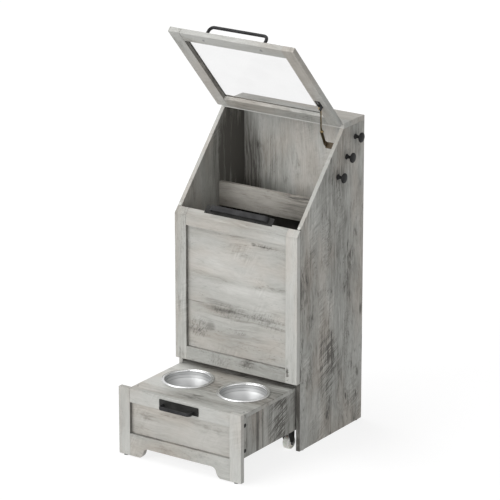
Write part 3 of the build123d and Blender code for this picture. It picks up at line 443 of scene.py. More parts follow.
class Surface:
    """A material with one principled shader, and short names for feeding it."""

    def __init__(self, name):
        self.material = bpy.data.materials.new(name)
        self.material.use_nodes = True
        self.nodes = Nodes(self.material.node_tree)
        self.shader = self.nodes.add("ShaderNodeBsdfPrincipled")
        self.nodes.add("ShaderNodeOutputMaterial", {"Surface": self.shader.outputs["BSDF"]})

    def feed(self, inputs):
        for key, value in inputs.items():
            self.nodes.feed(self.shader.inputs[key], value)

    def two_tone(self, pattern, first, second):
        """A colour that wanders between two tones."""
        self.feed({"Base Color": self.nodes.mix(self.nodes.span(pattern, 0.3, 0.7), first, second)})

    def skin(self, pattern, smoothest, roughest, strength, distance):
        """Gloss and relief from one pattern."""
        self.feed({
            "Roughness": self.nodes.span(pattern, 0.3, 0.7, smoothest, roughest),
            "Normal": self.nodes.bump(pattern, strength, distance),
        })


def shade(colour, factor, lift=0.0):
    """A colour made darker or lighter."""
    return tuple(min(part * factor + lift, 1) for part in colour)


# ---- Grey oak ----

# For each layer of the oak's pattern: how much it darkens, and the level that it counts from.
OAK_LAYERS = {
    "smoke": (0.34, 0.5),
    "streak_in_zone": (0.62, 0.0),
    "streak": (0.20, 0.5),
    "grit": (0.34, 0.5),
    "fibre": (0.14, 0.5),
    "dark_smoke": (0.44, 0.0),
    "speck": (0.30, 0.0),
    "figure": (0.16, 0.0),
    "hair": (0.34, 0.0),
    "dash": (0.30, 0.0),
    "knot": (0.50, 0.0),
    "halo": (0.34, 0.0),
    "saw": (0.85, 0.0),
}
OAK_DARKNESS = 0.26         # how dark the oak is on the whole
SAW_SLANT = math.radians(24)
BAND_DARKEN = 0.05          # an edge band's darkening and contrast; paler than the sides' faces, partly as a painted highlight on the lit edges
BAND_CONTRAST = 0.35
MARK_GRAIN = 40             # how fine a mark's ragged edge is across the grain, per metre
MARK_RAGGED = 1.6           # how ragged it is
MARK_DEPTH = 2.5 * MM       # how far a mark reaches into its board


def swaying(nodes, board):
    """The place on the board, with its width swaying a little as grain does."""
    drift = nodes.streaks(board, (6, 10, 9))
    return nodes.vector("ADD", board, nodes.combine(0, nodes.times(nodes.minus(drift, 0.5), 0.035)))[0]


def oak_knots(nodes, grain, grit):
    """Knots, and the rings round them."""
    place = nodes.stretch(grain, (4.6, 9.5, 0.6), (1.3, 2.7, 0))
    cells = nodes.add("ShaderNodeTexVoronoi", {"Vector": place, "Scale": 1.0}, feature="F1").outputs
    away = nodes.plus(cells["Distance"], nodes.times(nodes.minus(grit, 0.5), 0.16))
    draw = nodes.add("ShaderNodeSeparateColor", {0: cells["Color"]}).outputs[0]
    chosen = nodes.math("GREATER_THAN", draw, 0.74)
    knot = nodes.times(nodes.span(away, 0.02, 0.07, 1.0, 0.0), chosen)
    rings = nodes.math("PINGPONG", nodes.times(away, 13), 0.5)
    halo = nodes.times(nodes.times(nodes.span(away, 0.06, 0.24, 1.0, 0.0), rings), chosen)
    return knot, halo


def oak_layers(nodes, board, slanted):
    """The pattern's layers by name, from broad clouds to fine fibres."""
    grain = swaying(nodes, board)

    def zone(scale, shift, low, high):
        """Where on the board a layer shows."""
        return nodes.span(nodes.streaks(board, scale, shift), low, high)

    smoke = nodes.streaks(grain, (13, 42, 30), (3, 1, 7), detail=5, rough=0.66, distortion=0.3)
    streak = nodes.streaks(grain, (8, 190, 60), (1, 5, 2), detail=5, rough=0.66)
    grit = nodes.streaks(grain, (55, 260, 150), (2, 8, 6), detail=4, rough=0.7)
    dark_smoke = nodes.times(nodes.span(smoke, 0.52, 0.70), zone((5, 12, 9), (7, 3, 5), 0.42, 0.64))
    growth = nodes.streaks(grain, (2.4, 15, 6), (4, 9, 1), detail=1.5, rough=0.4)
    rings = nodes.math("PINGPONG", nodes.times(growth, 17), 0.5)
    figure = nodes.times(nodes.span(rings, 0.0, 0.11, 1.0, 0.0), zone((3, 8, 5), (2, 2, 9), 0.46, 0.62))
    hair = nodes.streaks(grain, (14, 300, 90), (5, 8, 3), detail=3, rough=0.7)
    dash = nodes.streaks(board, (46, 330, 200), (9, 4, 1), rough=0.6)
    speck = nodes.streaks(board, (150, 420, 300), (3, 9, 2))
    saw = nodes.streaks(slanted, (190, 20, 30), (2, 4, 6), detail=3, rough=0.65)
    knot, halo = oak_knots(nodes, grain, grit)
    return {
        "cloud": nodes.streaks(grain, (4.5, 13, 10), detail=4, rough=0.6),
        "smoke": smoke,
        "streak": streak,
        "streak_in_zone": nodes.times(nodes.minus(streak, 0.42), zone((3, 15, 9), (4, 2, 8), 0.42, 0.62)),
        "grit": grit,
        "fibre": nodes.streaks(grain, (60, 1500, 400), (8, 2, 4), rough=0.6),
        "dark_smoke": nodes.times(dark_smoke, nodes.span(streak, 0.34, 0.6, 0.45, 1.0)),
        "speck": nodes.times(nodes.span(speck, 0.60, 0.70), zone((9, 26, 20), (8, 5, 1), 0.50, 0.66)),
        "figure": nodes.times(figure, nodes.span(grit, 0.35, 0.6)),
        "hair": nodes.times(nodes.span(hair, 0.62, 0.72), zone((6, 22, 9), (6, 6, 2), 0.46, 0.6)),
        "dash": nodes.times(nodes.span(dash, 0.64, 0.72), zone((8, 18, 9), (1, 7, 2), 0.45, 0.62)),
        "knot": knot,
        "halo": halo,
        "saw": nodes.times(nodes.minus(saw, 0.5), zone((5, 9, 9), (9, 1, 3), 0.52, 0.66)),
    }


def oak_colour(nodes, board, dark, warmth, finish):
    """The oak's colour from how dark it is, cooler or warmer from place to place."""
    warm = nodes.span(nodes.streaks(board, (4, 11, 5), (5, 5, 5), detail=3), 0.42, 0.68)
    warm = nodes.plus(warm, warmth, clamp=True)
    pale = nodes.mix(warm, finish.board_pale, finish.board_pale_warm)
    half_dark = nodes.mix(warm, finish.board_mid, finish.board_mid_warm)
    lower = nodes.mix(nodes.span(dark, 0.0, 0.5, smooth=False), pale, half_dark)
    return nodes.mix(nodes.span(dark, 0.5, 1.0, smooth=False), lower, finish.board_dark)


def grey_oak_group(finish):
    """The weathered grey oak laminate's pattern, with the grain along x and the board's width along y."""
    tree = bpy.data.node_groups.new("Grey oak pattern", "ShaderNodeTree")
    face = tree.interface
    face.new_socket("Board", in_out="INPUT", socket_type="NodeSocketVector")
    for name in ("Darken", "Contrast", "Warmth", "Smoke", "Scratch", "Hatch"):
        face.new_socket(name, in_out="INPUT", socket_type="NodeSocketFloat")
    for name, kind in (("Color", "Color"), ("Roughness", "Float"), ("Height", "Float")):
        face.new_socket(name, in_out="OUTPUT", socket_type=f"NodeSocket{kind}")
    nodes = Nodes(tree)
    inputs = nodes.add("NodeGroupInput").outputs
    board = inputs["Board"]
    slanted = nodes.turn(board, SAW_SLANT, "Z")
    layers = oak_layers(nodes, board, slanted)

    dark = nodes.times_plus(nodes.minus(layers["cloud"], 0.5), 0.62, OAK_DARKNESS)
    for name, (weight, level) in OAK_LAYERS.items():
        dark = nodes.plus(dark, nodes.times(nodes.minus(layers[name], level), weight))
    dark = nodes.times_plus(nodes.minus(dark, OAK_DARKNESS), inputs["Contrast"], OAK_DARKNESS)
    scratch = nodes.streaks(slanted, (230, 70, 160), (6, 1, 4), detail=4, rough=0.75, distortion=0.6)
    hatch = nodes.streaks(slanted, (250, 14, 30), (7, 2, 5))
    for name, texture in (
        ("Smoke", nodes.span(layers["streak"], 0.3, 0.66, 0.5, 1.1)),
        ("Scratch", nodes.span(scratch, 0.46, 0.62, 0.0, 1.0)),
        ("Hatch", nodes.span(hatch, 0.42, 0.60, -0.3, 0.8)),
    ):
        dark = nodes.times_plus(inputs[name], texture, dark)
    dark = nodes.plus(dark, inputs["Darken"], clamp=True)

    height = nodes.times_plus(layers["fibre"], 0.35, nodes.times(layers["streak"], 0.65))
    for name, depth in (("hair", 0.8), ("knot", 0.5)):
        height = nodes.minus(height, nodes.times(layers[name], depth))
    nodes.add("NodeGroupOutput", {
        "Color": oak_colour(nodes, board, dark, inputs["Warmth"], finish),
        "Roughness": nodes.span(dark, 0.0, 1.0, 0.5, 0.68, smooth=False),
        "Height": height,
    })
    return tree


def mark_amounts(nodes, place, axes, marks):
    """How strongly each kind of mark shows: ragged ellipses round places on the board, along its axes."""
    grain, across, through = axes
    totals = {}
    if not marks:
        return totals
    fineness = [MARK_GRAIN / (10 if axis == grain else 1) for axis in AXES]
    ragged = nodes.times(nodes.minus(nodes.streaks(place, fineness, detail=3), 0.5), MARK_RAGGED)
    for kind, x, y, z, length, width, strength in marks:
        sizes = {grain: length, across: width, through: MARK_DEPTH}
        scale = [1 / sizes[axis] for axis in AXES]
        offset = [-spot * factor for spot, factor in zip((x, y, z), scale)]
        away = nodes.vector("LENGTH", nodes.stretch(place, scale, offset))["Value"]
        amount = nodes.span(nodes.plus(ragged, away), 0.25, 1.15, strength, 0.0)
        totals[kind] = nodes.plus(totals[kind], amount) if kind in totals else amount
    return totals


def oak_material(name, group, cut_from, marks=(), painted_strips=(), tilt=0.0, band_and_highlight=False):
    """Oak laminate for one board, cut from the pattern as its row of BOARDS says. Any marks are (kind, x, y,
    z, length, width, strength). Strips along an axis, (axis, place, half width, strength), paint shade where
    they darken and light where they make paler. A board with edge bands has its edges covered with a paler,
    plainer band, its paleness partly a painted highlight on the lit edges."""
    (grain, across), shift, darken, contrast, warmth = cut_from
    (through,) = set(AXES) - {grain, across}
    oak = Surface(name)
    nodes = oak.nodes
    place = nodes.place()
    if tilt:
        place = nodes.turn(place, -tilt, "X")
    spot = nodes.split(place)
    board = nodes.combine(*[spot[AXES[axis]] for axis in (grain, across, through)])
    amounts = mark_amounts(nodes, place, (grain, across, through), marks)
    # painted strips: a positive strength paints shade, a negative one paints light
    for axis, level, reach, strength in painted_strips:
        amount = nodes.span(nodes.apart(spot[AXES[axis]], level), reach * 0.4, reach, strength, 0.0)
        amounts["Smoke"] = nodes.plus(amounts["Smoke"], amount) if "Smoke" in amounts else amount
    # the edge band is plainer and paler than the face, its paleness partly a painted highlight on the lit
    # edges
    if band_and_highlight:
        facing = nodes.split(nodes.add("ShaderNodeTexCoord").outputs["Normal"])[AXES[through]]
        edge = nodes.span(nodes.math("ABSOLUTE", facing), 0.4, 0.7, 1.0, 0.0)
        contrast = nodes.times_plus(edge, BAND_CONTRAST - contrast, contrast)
        darken = nodes.times_plus(edge, BAND_DARKEN - darken, darken)
    cut = nodes.stretch(board, (1, 1, 1), shift)
    inputs = {"Board": cut, "Darken": darken, "Contrast": contrast, "Warmth": warmth, **amounts}
    pattern = nodes.add("ShaderNodeGroup", inputs, node_tree=group).outputs
    oak.feed({
        "Base Color": pattern["Color"],
        "Roughness": pattern["Roughness"],
        "Normal": nodes.bump(pattern["Height"], 0.25, 0.0006),
        "Specular IOR Level": 0.35,
    })
    return oak.material


# ---- Metals and plastics ----

def coated_metal(name, colour, rough=0.42, gloss=0.5):
    """Powder-coated or painted metal with a fine orange peel and a little wear in tone."""
    coat = Surface(name)
    place = coat.nodes.place()
    wear = coat.nodes.noise(place, scale=36, detail=3)
    coat.two_tone(wear, shade(colour, 0.72), shade(colour, 1.35, 0.004))
    coat.skin(coat.nodes.noise(place, scale=900), rough - 0.06, rough + 0.08, 0.16, 0.0004)
    coat.feed({"Specular IOR Level": gloss})
    return coat.material


def bare_metal(name, colour, rough=0.28):
    """Bare metal with fine drawn lines and a mottled tone."""
    metal = Surface(name)
    place = metal.nodes.place()
    metal.two_tone(metal.nodes.noise(place, scale=70, detail=3), shade(colour, 0.7), colour)
    lines = metal.nodes.streaks(place, (300, 300, 300), detail=3, rough=0.6)
    metal.skin(lines, rough - 0.06, rough + 0.1, 0.1, 0.0002)
    metal.feed({"Metallic": 1.0})
    return metal.material


def spun_steel(name, colour, centre, rim_z, shade_lines_z):
    """Bowl steel: satin inside, with the faint rings that spinning leaves, lines of painted shade at some
    heights for the shade in the bowl's grooves and under its rim, and a painted highlight on the rim above a
    height, where it is also more polished."""
    steel = Surface(name)
    nodes = steel.nodes
    place = nodes.stretch(nodes.place(), (1, 1, 1), (-centre.x, -centre.y, 0))
    height = nodes.split(place)["Z"]
    radius = nodes.vector("LENGTH", nodes.vector("MULTIPLY", place, (1, 1, 0))[0])["Value"]
    lines = nodes.streaks(nodes.combine(radius, height), (2600, 2600, 1), detail=3, rough=0.65)
    tone = nodes.mix(nodes.noise(place, scale=30, detail=3), shade(colour, 0.9), colour)
    # painted shade: darker lines at these heights
    for level in shade_lines_z:
        near = nodes.span(nodes.apart(height, level), 0.3 * MM, 1.1 * MM, 0.6, 0.0)
        tone = nodes.mix(near, tone, shade(colour, 0.35))
    # the rim is painted brighter as a highlight, and made glossier
    on_rim = nodes.span(height, rim_z - 1.0 * MM, rim_z)
    satin = nodes.span(lines, 0.3, 0.7, 0.46, 0.58)
    steel.feed({
        "Base Color": nodes.mix(on_rim, tone, shade(colour, 1.35)),
        "Roughness": nodes.times_plus(on_rim, -0.26, satin),
        "Normal": nodes.bump(lines, 0.08, 0.0002),
        "Metallic": 1.0,
    })
    return steel.material


def moulded(name, colour, rough=0.45, soft=0.0):
    """Moulded plastic or rubber with a fine skin and faint flow marks."""
    plastic = Surface(name)
    place = plastic.nodes.place()
    plastic.two_tone(plastic.nodes.streaks(place, (60, 25, 60), detail=3), shade(colour, 0.88), colour)
    plastic.skin(plastic.nodes.noise(place, scale=1400), rough - 0.05, rough + 0.08, 0.12, 0.0002)
    plastic.feed({"Subsurface Weight": soft})
    return plastic.material


def clear_pane(name, tint):
    """The lid's clear pane: see-through, a little grey, with a trace of smear in its gloss."""
    pane = Surface(name)
    smear = pane.nodes.streaks(pane.nodes.place(), (12, 20, 20), detail=4, rough=0.6)
    pane.two_tone(smear, tint, shade(tint, 0.8))
    pane.feed({
        "Roughness": pane.nodes.span(smear, 0.35, 0.75, 0.01, 0.06),
        "Alpha": pane.nodes.span(smear, 0.3, 0.7, 0.070, 0.082),
        "IOR": 1.46,
    })
    return pane.material


def beech(name, darker, paler):
    """Turned beech with fine rings."""
    wood = Surface(name)
    rings = wood.nodes.streaks(wood.nodes.place(), (60, 900, 900), detail=3)
    wood.feed({"Base Color": wood.nodes.mix(rings, darker, paler), "Roughness": 0.6})
    return wood.material


# ---- Settings ----

def colour_setting(name, words, default):
    limits = {"size": 3, "min": 0, "max": 1}
    return FloatVectorProperty(name=name, description=words, default=default, subtype="COLOR", **limits)


def length_setting(name, words, default):
    kind = {"subtype": "DISTANCE", "unit": "LENGTH"}
    return FloatProperty(name=name, description=words, default=default, min=0, **kind)


def level_setting(name, words, default):
    return FloatProperty(name=name, description=words, default=default, min=0)


class FeederFinish(bpy.types.PropertyGroup):
    """Colours of the feeder's boards, metals and plastics."""

    board_pale: colour_setting("Board, pale", "Palest tone of the grey oak", (0.585, 0.585, 0.560))
    board_pale_warm: colour_setting("Board, pale warm", "Palest warm tone of the oak", (0.565, 0.540, 0.500))
    board_mid: colour_setting("Board, middle", "Middle tone of the grey oak", (0.320, 0.320, 0.298))
    board_mid_warm: colour_setting("Board, middle warm", "Middle warm tone of the oak", (0.32, 0.298, 0.265))
    board_dark: colour_setting("Board, dark", "Darkest streaks and knots", (0.105, 0.100, 0.090))
    handle_metal: colour_setting("Handles", "Coating of the handle and pull straps", (0.021, 0.021, 0.022))
    # painted shade: the plates are darker than the straps to stand in for the shade behind the straps
    plate_metal: colour_setting("Pull plates", "Coating of the pulls' plates", (0.015, 0.015, 0.014))
    black_metal: colour_setting("Hooks", "Paint of the hooks and caster forks", (0.012, 0.012, 0.012))
    brass: colour_setting("Stay arm", "Brass of the stay's arm", (0.50, 0.38, 0.20))
    bronze: colour_setting("Stay link", "Aged brass of the stay's link", (0.20, 0.155, 0.085))
    bracket: colour_setting("Stay bracket", "Coating of the stay's bracket", (0.085, 0.062, 0.036))
    steel: colour_setting("Bowls", "Steel of the bowls", (0.50, 0.505, 0.505))
    zinc: colour_setting("Fittings", "Zinc plating of screws, cams and hinges", (0.40, 0.40, 0.40))
    cam_grey: colour_setting("Cabinet cams", "Grey coating of the cabinet's cam locks", (0.17, 0.165, 0.155))
    wheel: colour_setting("Wheels", "Caster wheels", (0.98, 0.97, 0.91))
    glide: colour_setting("Glides", "Floor glides", (0.10, 0.10, 0.10))
    rubber: colour_setting("Bumpers", "Lid bumpers", (0.60, 0.60, 0.56))
    pane: colour_setting("Pane", "Tint of the lid's pane", (0.10, 0.105, 0.11))


class FeederSizes(bpy.types.PropertyGroup):
    """Sizes of the details that dress the feeder, and the levels of the lamps."""

    bar_corner: length_setting("Handle corner", "Radius of the lid handle's bends", 13 * MM)
    strap_corner: length_setting("Pull corner", "Radius of the pulls' bends", 8 * MM)
    strap_round: length_setting("Pull edge", "Rounding of the pulls' edges", 0.9 * MM)
    bowl_wall: length_setting("Bowl wall", "Thickness of the bowls", 1.0 * MM)
    floor_size: length_setting("Floor", "Side of the stage's floor", 60.0)
    key_level: level_setting("Key lamp", "Level of the main lamp", 1.38)
    top_level: level_setting("Top lamp", "Level of the lamp overhead", 1.32)
    front_level: level_setting("Front lamp", "Level of the lamp in front", 1.0)
    fill_level: level_setting("Fill lamp", "Level of the fill lamp", 0.52)
    ambient: level_setting("Room light", "Level of the light from all round", 0.25)


def finish_settings():
    return bpy.context.scene.feeder_finish


def size_settings():
    return bpy.context.scene.feeder_sizes


# ---- Stage ----

WHITE = (1, 1, 1, 1)
FLOOR_GREY = (0.26, 0.26, 0.26, 1)
FLOOR_GLOW = 0.39           # what it throws on the feeder
FLOOR_SEEN_GLOW = 0.42      # what the eye sees on top of that

# For each lamp: the way to it from the feeder, and how wide it looks from there, in degrees.
LAMPS = {
    "key": ((-0.38, -0.82, 0.42), 40),
    "top": ((-0.45, -0.05, 0.89), 45),
    "front": ((0.12, -0.985, 0.08), 30),
    "fill": ((0.85, -0.35, 0.36), 60),
}
LAMP_DISTANCE = 6           # metres

# The camera's place in metres from the foot of the cabinet's front, the way that it looks, its lens and
# sensor in millimetres and how far it sees in metres.
CAMERA_PLACE = Vector((4.64347, -6.73213, 3.25949))
CAMERA_LOOK = Vector((-0.53510, 0.78393, -0.31485))
CAMERA_LENS = 230.4
CAMERA_SENSOR = 36
CAMERA_REACH = 200


def white_to_the_eye(nodes):
    """1 for rays that see the background directly, in gloss or through the pane, else 0."""
    path = nodes.add("ShaderNodeLightPath").outputs
    direct = nodes.plus(path["Is Camera Ray"], path["Is Glossy Ray"])
    return nodes.plus(direct, path["Is Transmission Ray"], clamp=True)


def make_world(ambient):
    """An even room light, with a white background to the eye."""
    world = bpy.data.worlds.new("Studio")
    bpy.context.scene.world = world
    world.use_nodes = True
    nodes = Nodes(world.node_tree)
    room, white = [
        nodes.add("ShaderNodeBackground", {"Color": WHITE, "Strength": strength}).outputs[0]
        for strength in (ambient, 1.0)
    ]
    blend = nodes.add("ShaderNodeMixShader", {0: white_to_the_eye(nodes), 1: room, 2: white}).outputs[0]
    nodes.add("ShaderNodeOutputWorld", {"Surface": blend})


def floor_material():
    """Pale floor that glows softly: white where it is lit, and darker only in the feeder's own shadow."""
    material = bpy.data.materials.new("Pale floor")
    material.use_nodes = True
    nodes = Nodes(material.node_tree)
    matt = nodes.add("ShaderNodeBsdfDiffuse", {"Color": FLOOR_GREY}).outputs[0]
    strength = nodes.times_plus(white_to_the_eye(nodes), FLOOR_SEEN_GLOW, FLOOR_GLOW)
    glow = nodes.add("ShaderNodeEmission", {"Color": WHITE, "Strength": strength}).outputs[0]
    both = nodes.add("ShaderNodeAddShader", {0: matt, 1: glow}).outputs[0]
    nodes.add("ShaderNodeOutputMaterial", {"Surface": both})
    return material


def put(name, data, place, look):
    """A lamp or camera at a place, looking along a direction."""
    holder = bpy.data.objects.new(name, data)
    holder.location = place
    holder.rotation_euler = look.to_track_quat("-Z", "Y").to_euler()
    bpy.context.scene.collection.objects.link(holder)
    return holder


def add_lamp(name, way, angle, strength):
    """A wide, soft lamp far off in a direction from the feeder."""
    lamp = bpy.data.lights.new(name, "SUN")
    lamp.angle = math.radians(angle)
    lamp.energy = strength
    way = Vector(way).normalized()
    put(name, lamp, CABINET + way * LAMP_DISTANCE, -way)


def add_camera():
    """The camera, and plain colours for its picture."""
    camera = bpy.data.cameras.new("Camera")
    camera.sensor_width = CAMERA_SENSOR
    camera.lens = CAMERA_LENS
    camera.clip_end = CAMERA_REACH
    bpy.context.scene.camera = put("Camera", camera, CABINET + CAMERA_PLACE, CAMERA_LOOK)
    bpy.context.scene.view_settings.view_transform = "Standard"


class FEEDER_OT_stage(bpy.types.Operator):
    """Floor, room light, lamps and camera"""

    bl_idname = "feeder.stage"
    bl_label = "Stage"

    def execute(self, context):
        sizes = size_settings()
        make_world(sizes.ambient)
        half = sizes.floor_size / 2
        corners = [(-half, -half, 0), (half, -half, 0), (half, half, 0), (-half, half, 0)]
        mesh_object("floor", corners, [[0, 1, 2, 3]], floor_material())
        for word, (way, angle) in LAMPS.items():
            add_lamp(f"{word}_lamp", way, angle, getattr(sizes, f"{word}_level"))
        add_camera()
        return {"FINISHED"}


# ---- Boards ----

# For each wooden node: the axes of its grain and its width, its place in the oak's pattern, and how dark,
# contrasty and warm it is there.
BOARDS = {
    "front_centre_panel": ("XZ", (3.1, 1.7, 0.0), 0.03, 0.74, 0.12),
    "front_left_stile": ("ZX", (8.2, 4.1, 2.0), 0.04, 0.75, 0.0),
    "front_right_stile": ("ZX", (1.3, 7.4, 3.0), -0.07, 0.55, 0.0),
    "front_top_rail": ("XZ", (5.6, 2.9, 1.0), 0.02, 0.62, 0.0),
    "front_bottom_rail": ("XZ", (2.2, 9.1, 4.0), 0.16, 0.95, 0.0),
    "left_side_panel": ("ZY", (6.4, 3.8, 5.0), 0.16, 0.9, 0.0),
    "right_side_panel": ("ZY", (4.4, 6.3, 6.0), 0.11, 1.6, 0.0),
    "top_board": ("XY", (9.3, 5.2, 7.0), 0.03, 0.75, 0.0),
    "back_panel": ("ZX", (7.7, 8.8, 8.0), -0.08, 0.9, 0.0),
    # the storage floor's high darkening is painted shade, keeping the deep bin's floor dark
    "storage_floor": ("XY", (0.9, 1.2, 9.0), 0.60, 0.8, 0.0),
    "shelf_board": ("XY", (3.9, 9.7, 2.5), 0.08, 0.8, 0.0),
    "shelf_apron": ("XZ", (6.1, 0.4, 3.5), 0.14, 1.0, 0.8),
    "pull_cleat": ("XZ", (1.1, 2.4, 0.5), 0.05, 0.7, 0.0),
    "drawer_centre_panel": ("XZ", (2.7, 5.5, 4.5), 0.0, 0.60, 0.35),
    "drawer_left_stile": ("ZX", (7.1, 2.2, 5.5), 0.01, 0.6, 0.0),
    "drawer_right_stile": ("ZX", (5.3, 8.4, 6.5), -0.07, 0.5, 0.0),
    "drawer_top_rail": ("XZ", (8.8, 6.6, 7.5), 0.0, 0.62, 0.0),
    "drawer_bottom_rail": ("XZ", (4.9, 3.3, 8.5), 0.07, 0.8, 0.0),
    "drawer_top_board": ("XY", (1.9, 4.7, 9.5), 0.10, 1.15, 0.0),
    "drawer_left_side": ("ZY", (9.9, 7.2, 1.5), 0.20, 1.3, 0.0),
    "drawer_right_side": ("ZY", (3.4, 8.1, 2.8), 0.15, 1.25, 0.0),
    "drawer_back_board": ("XZ", (5.8, 5.1, 3.8), 0.08, 0.8, 0.0),
    "caster_rail": ("XY", (0.3, 6.8, 4.8), 0.06, 0.8, 0.0),
    "lid_left_stile": ("ZX", (2.9, 7.9, 5.8), 0.02, 0.66, 0.0),
    "lid_right_stile": ("ZX", (6.9, 1.6, 6.8), 0.0, 0.66, 0.0),
    "lid_front_rail": ("XZ", (4.2, 4.9, 7.8), -0.03, 0.6, 0.0),
    "lid_rear_rail": ("XZ", (8.5, 0.8, 8.8), 0.09, 0.8, 0.0),
}


def on_face(node, face, places):
    """Marks on a board's face, from shares of its box. Each is (kind, u, v, length, width, strength), with u
    along the face's first axis and v along its second."""
    low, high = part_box(node)
    size = high - low
    marks = []
    for kind, u, v, length, width, strength in places:
        if face == "front":
            spot = (low.x + u * size.x, low.y, low.z + v * size.z)
        elif face == "right":
            spot = (high.x, low.y + u * size.y, low.z + v * size.z)
        else:
            spot = (low.x + u * size.x, low.y + v * size.y, high.z)
        marks.append((kind, *spot, length, width, strength))
    return marks


def mark_table():
    """For each board that has marks: the marked face, and its smoky patches, scratches and saw marks, and on
    some boards patches of painted shade and painted light.
    """
    back_low, back_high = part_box("back_panel")
    shelf_v = (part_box("shelf_board")[0].z - back_low.z) / (back_high.z - back_low.z)
    return {
        "front_centre_panel": ("front", (
            ("Smoke", 0.37, 0.375, 0.085, 0.024, 0.28),
            ("Smoke", 0.44, 0.360, 0.060, 0.007, 0.22),
            ("Scratch", 0.42, 0.365, 0.100, 0.030, 0.20),
            ("Smoke", 0.26, 0.425, 0.060, 0.008, 0.26),
            ("Smoke", 0.72, 0.36, 0.110, 0.006, 0.16),
            ("Smoke", 0.60, 0.305, 0.150, 0.005, 0.18),
            ("Smoke", 0.08, 0.385, 0.045, 0.0022, 0.45),
            ("Smoke", 0.12, 0.185, 0.050, 0.034, 0.12),
            ("Scratch", 0.12, 0.185, 0.040, 0.034, 0.40),
            ("Smoke", 0.24, 0.215, 0.016, 0.016, 0.30),
            ("Scratch", 0.80, 0.360, 0.080, 0.024, 0.30),
            ("Scratch", 0.52, 0.205, 0.040, 0.008, 0.36),
            ("Smoke", 0.58, 0.16, 0.130, 0.034, 0.10),
            ("Smoke", 0.655, 0.930, 0.009, 0.006, 0.60),
            ("Smoke", 0.78, 0.925, 0.050, 0.003, 0.30),
            ("Scratch", 0.78, 0.925, 0.050, 0.009, 0.40),
            ("Smoke", 0.34, 0.880, 0.120, 0.016, 0.10),
            ("Smoke", 0.20, 0.62, 0.080, 0.010, 0.10),
            ("Smoke", 0.50, 0.70, 0.240, 0.060, -0.16),
            ("Smoke", 0.70, 0.53, 0.160, 0.030, -0.12),
        )),
        "front_right_stile": ("front", (
            ("Smoke", 0.16, 0.075, 0.012, 0.004, 0.70),
            ("Scratch", 0.20, 0.050, 0.030, 0.006, 0.60),
        )),
        "front_bottom_rail": ("front", (
            ("Scratch", 0.34, 0.55, 0.040, 0.020, 0.26),
            ("Scratch", 0.62, 0.62, 0.030, 0.014, 0.30),
            ("Smoke", 0.62, 0.60, 0.040, 0.010, 0.10),
        )),
        "right_side_panel": ("right", (
            ("Smoke", 0.55, 0.615, 0.090, 0.030, 0.26),
            ("Scratch", 0.40, 0.640, 0.110, 0.040, 0.30),
            ("Smoke", 0.74, 0.66, 0.110, 0.040, 0.20),
            ("Smoke", 0.62, 0.80, 0.100, 0.030, 0.18),
            ("Smoke", 0.48, 0.36, 0.180, 0.040, 0.06),
            ("Hatch", 0.45, 0.25, 0.110, 0.060, 0.45),
            ("Smoke", 0.97, 0.375, 0.020, 0.008, 0.60),
            ("Smoke", 0.45, 0.17, 0.140, 0.060, 0.20),
        )),
        "drawer_right_side": ("right", (
            ("Smoke", 0.30, 0.50, 0.140, 0.010, 0.45),
            ("Smoke", 0.38, 0.55, 0.120, 0.005, 0.40),
            ("Smoke", 0.12, 0.60, 0.080, 0.003, 0.30),
            ("Hatch", 0.66, 0.55, 0.090, 0.050, 0.80),
            ("Smoke", 0.72, 0.52, 0.110, 0.070, 0.26),
        )),
        # the strip near the back (0.88) is painted shade where the cabinet's front overhangs it; the patch
        # at the right end is darker and the one at the left end paler
        "drawer_top_board": ("top", (
            ("Smoke", 0.96, 0.60, 0.14, 0.10, 0.40),
            ("Smoke", 0.74, 0.20, 0.16, 0.018, 0.28),
            ("Smoke", 0.55, 0.88, 0.22, 0.035, 0.30),
            ("Smoke", 0.47, 0.45, 0.08, 0.060, 0.34),
            ("Smoke", 0.08, 0.45, 0.11, 0.14, -0.50),
            ("Smoke", 0.97, 0.13, 0.004, 0.004, 0.9),
            ("Smoke", 0.03, 0.13, 0.004, 0.004, 0.7),
        )),
        # painted shade in the rear top corner of the inner face
        "left_side_panel": ("right", (
            ("Smoke", 0.98, 0.76, 0.20, 0.13, 0.75),
            ("Smoke", 0.84, 0.88, 0.18, 0.15, 0.60),
        )),
        # painted shade at the left end above the shelf and in a band just under the shelf
        "back_panel": ("front", (
            ("Smoke", 0.04, shelf_v + 0.12, 0.20, 0.055, 0.50),
            ("Smoke", 0.16, shelf_v + 0.10, 0.18, 0.110, 0.30),
            ("Smoke", 0.50, shelf_v - 0.08, 0.075, 0.28, 1.30),
        )),
        # a darker patch towards the right end
        "shelf_apron": ("front", (
            ("Smoke", 0.80, 0.5, 0.13, 0.06, 0.34),
        )),
    }


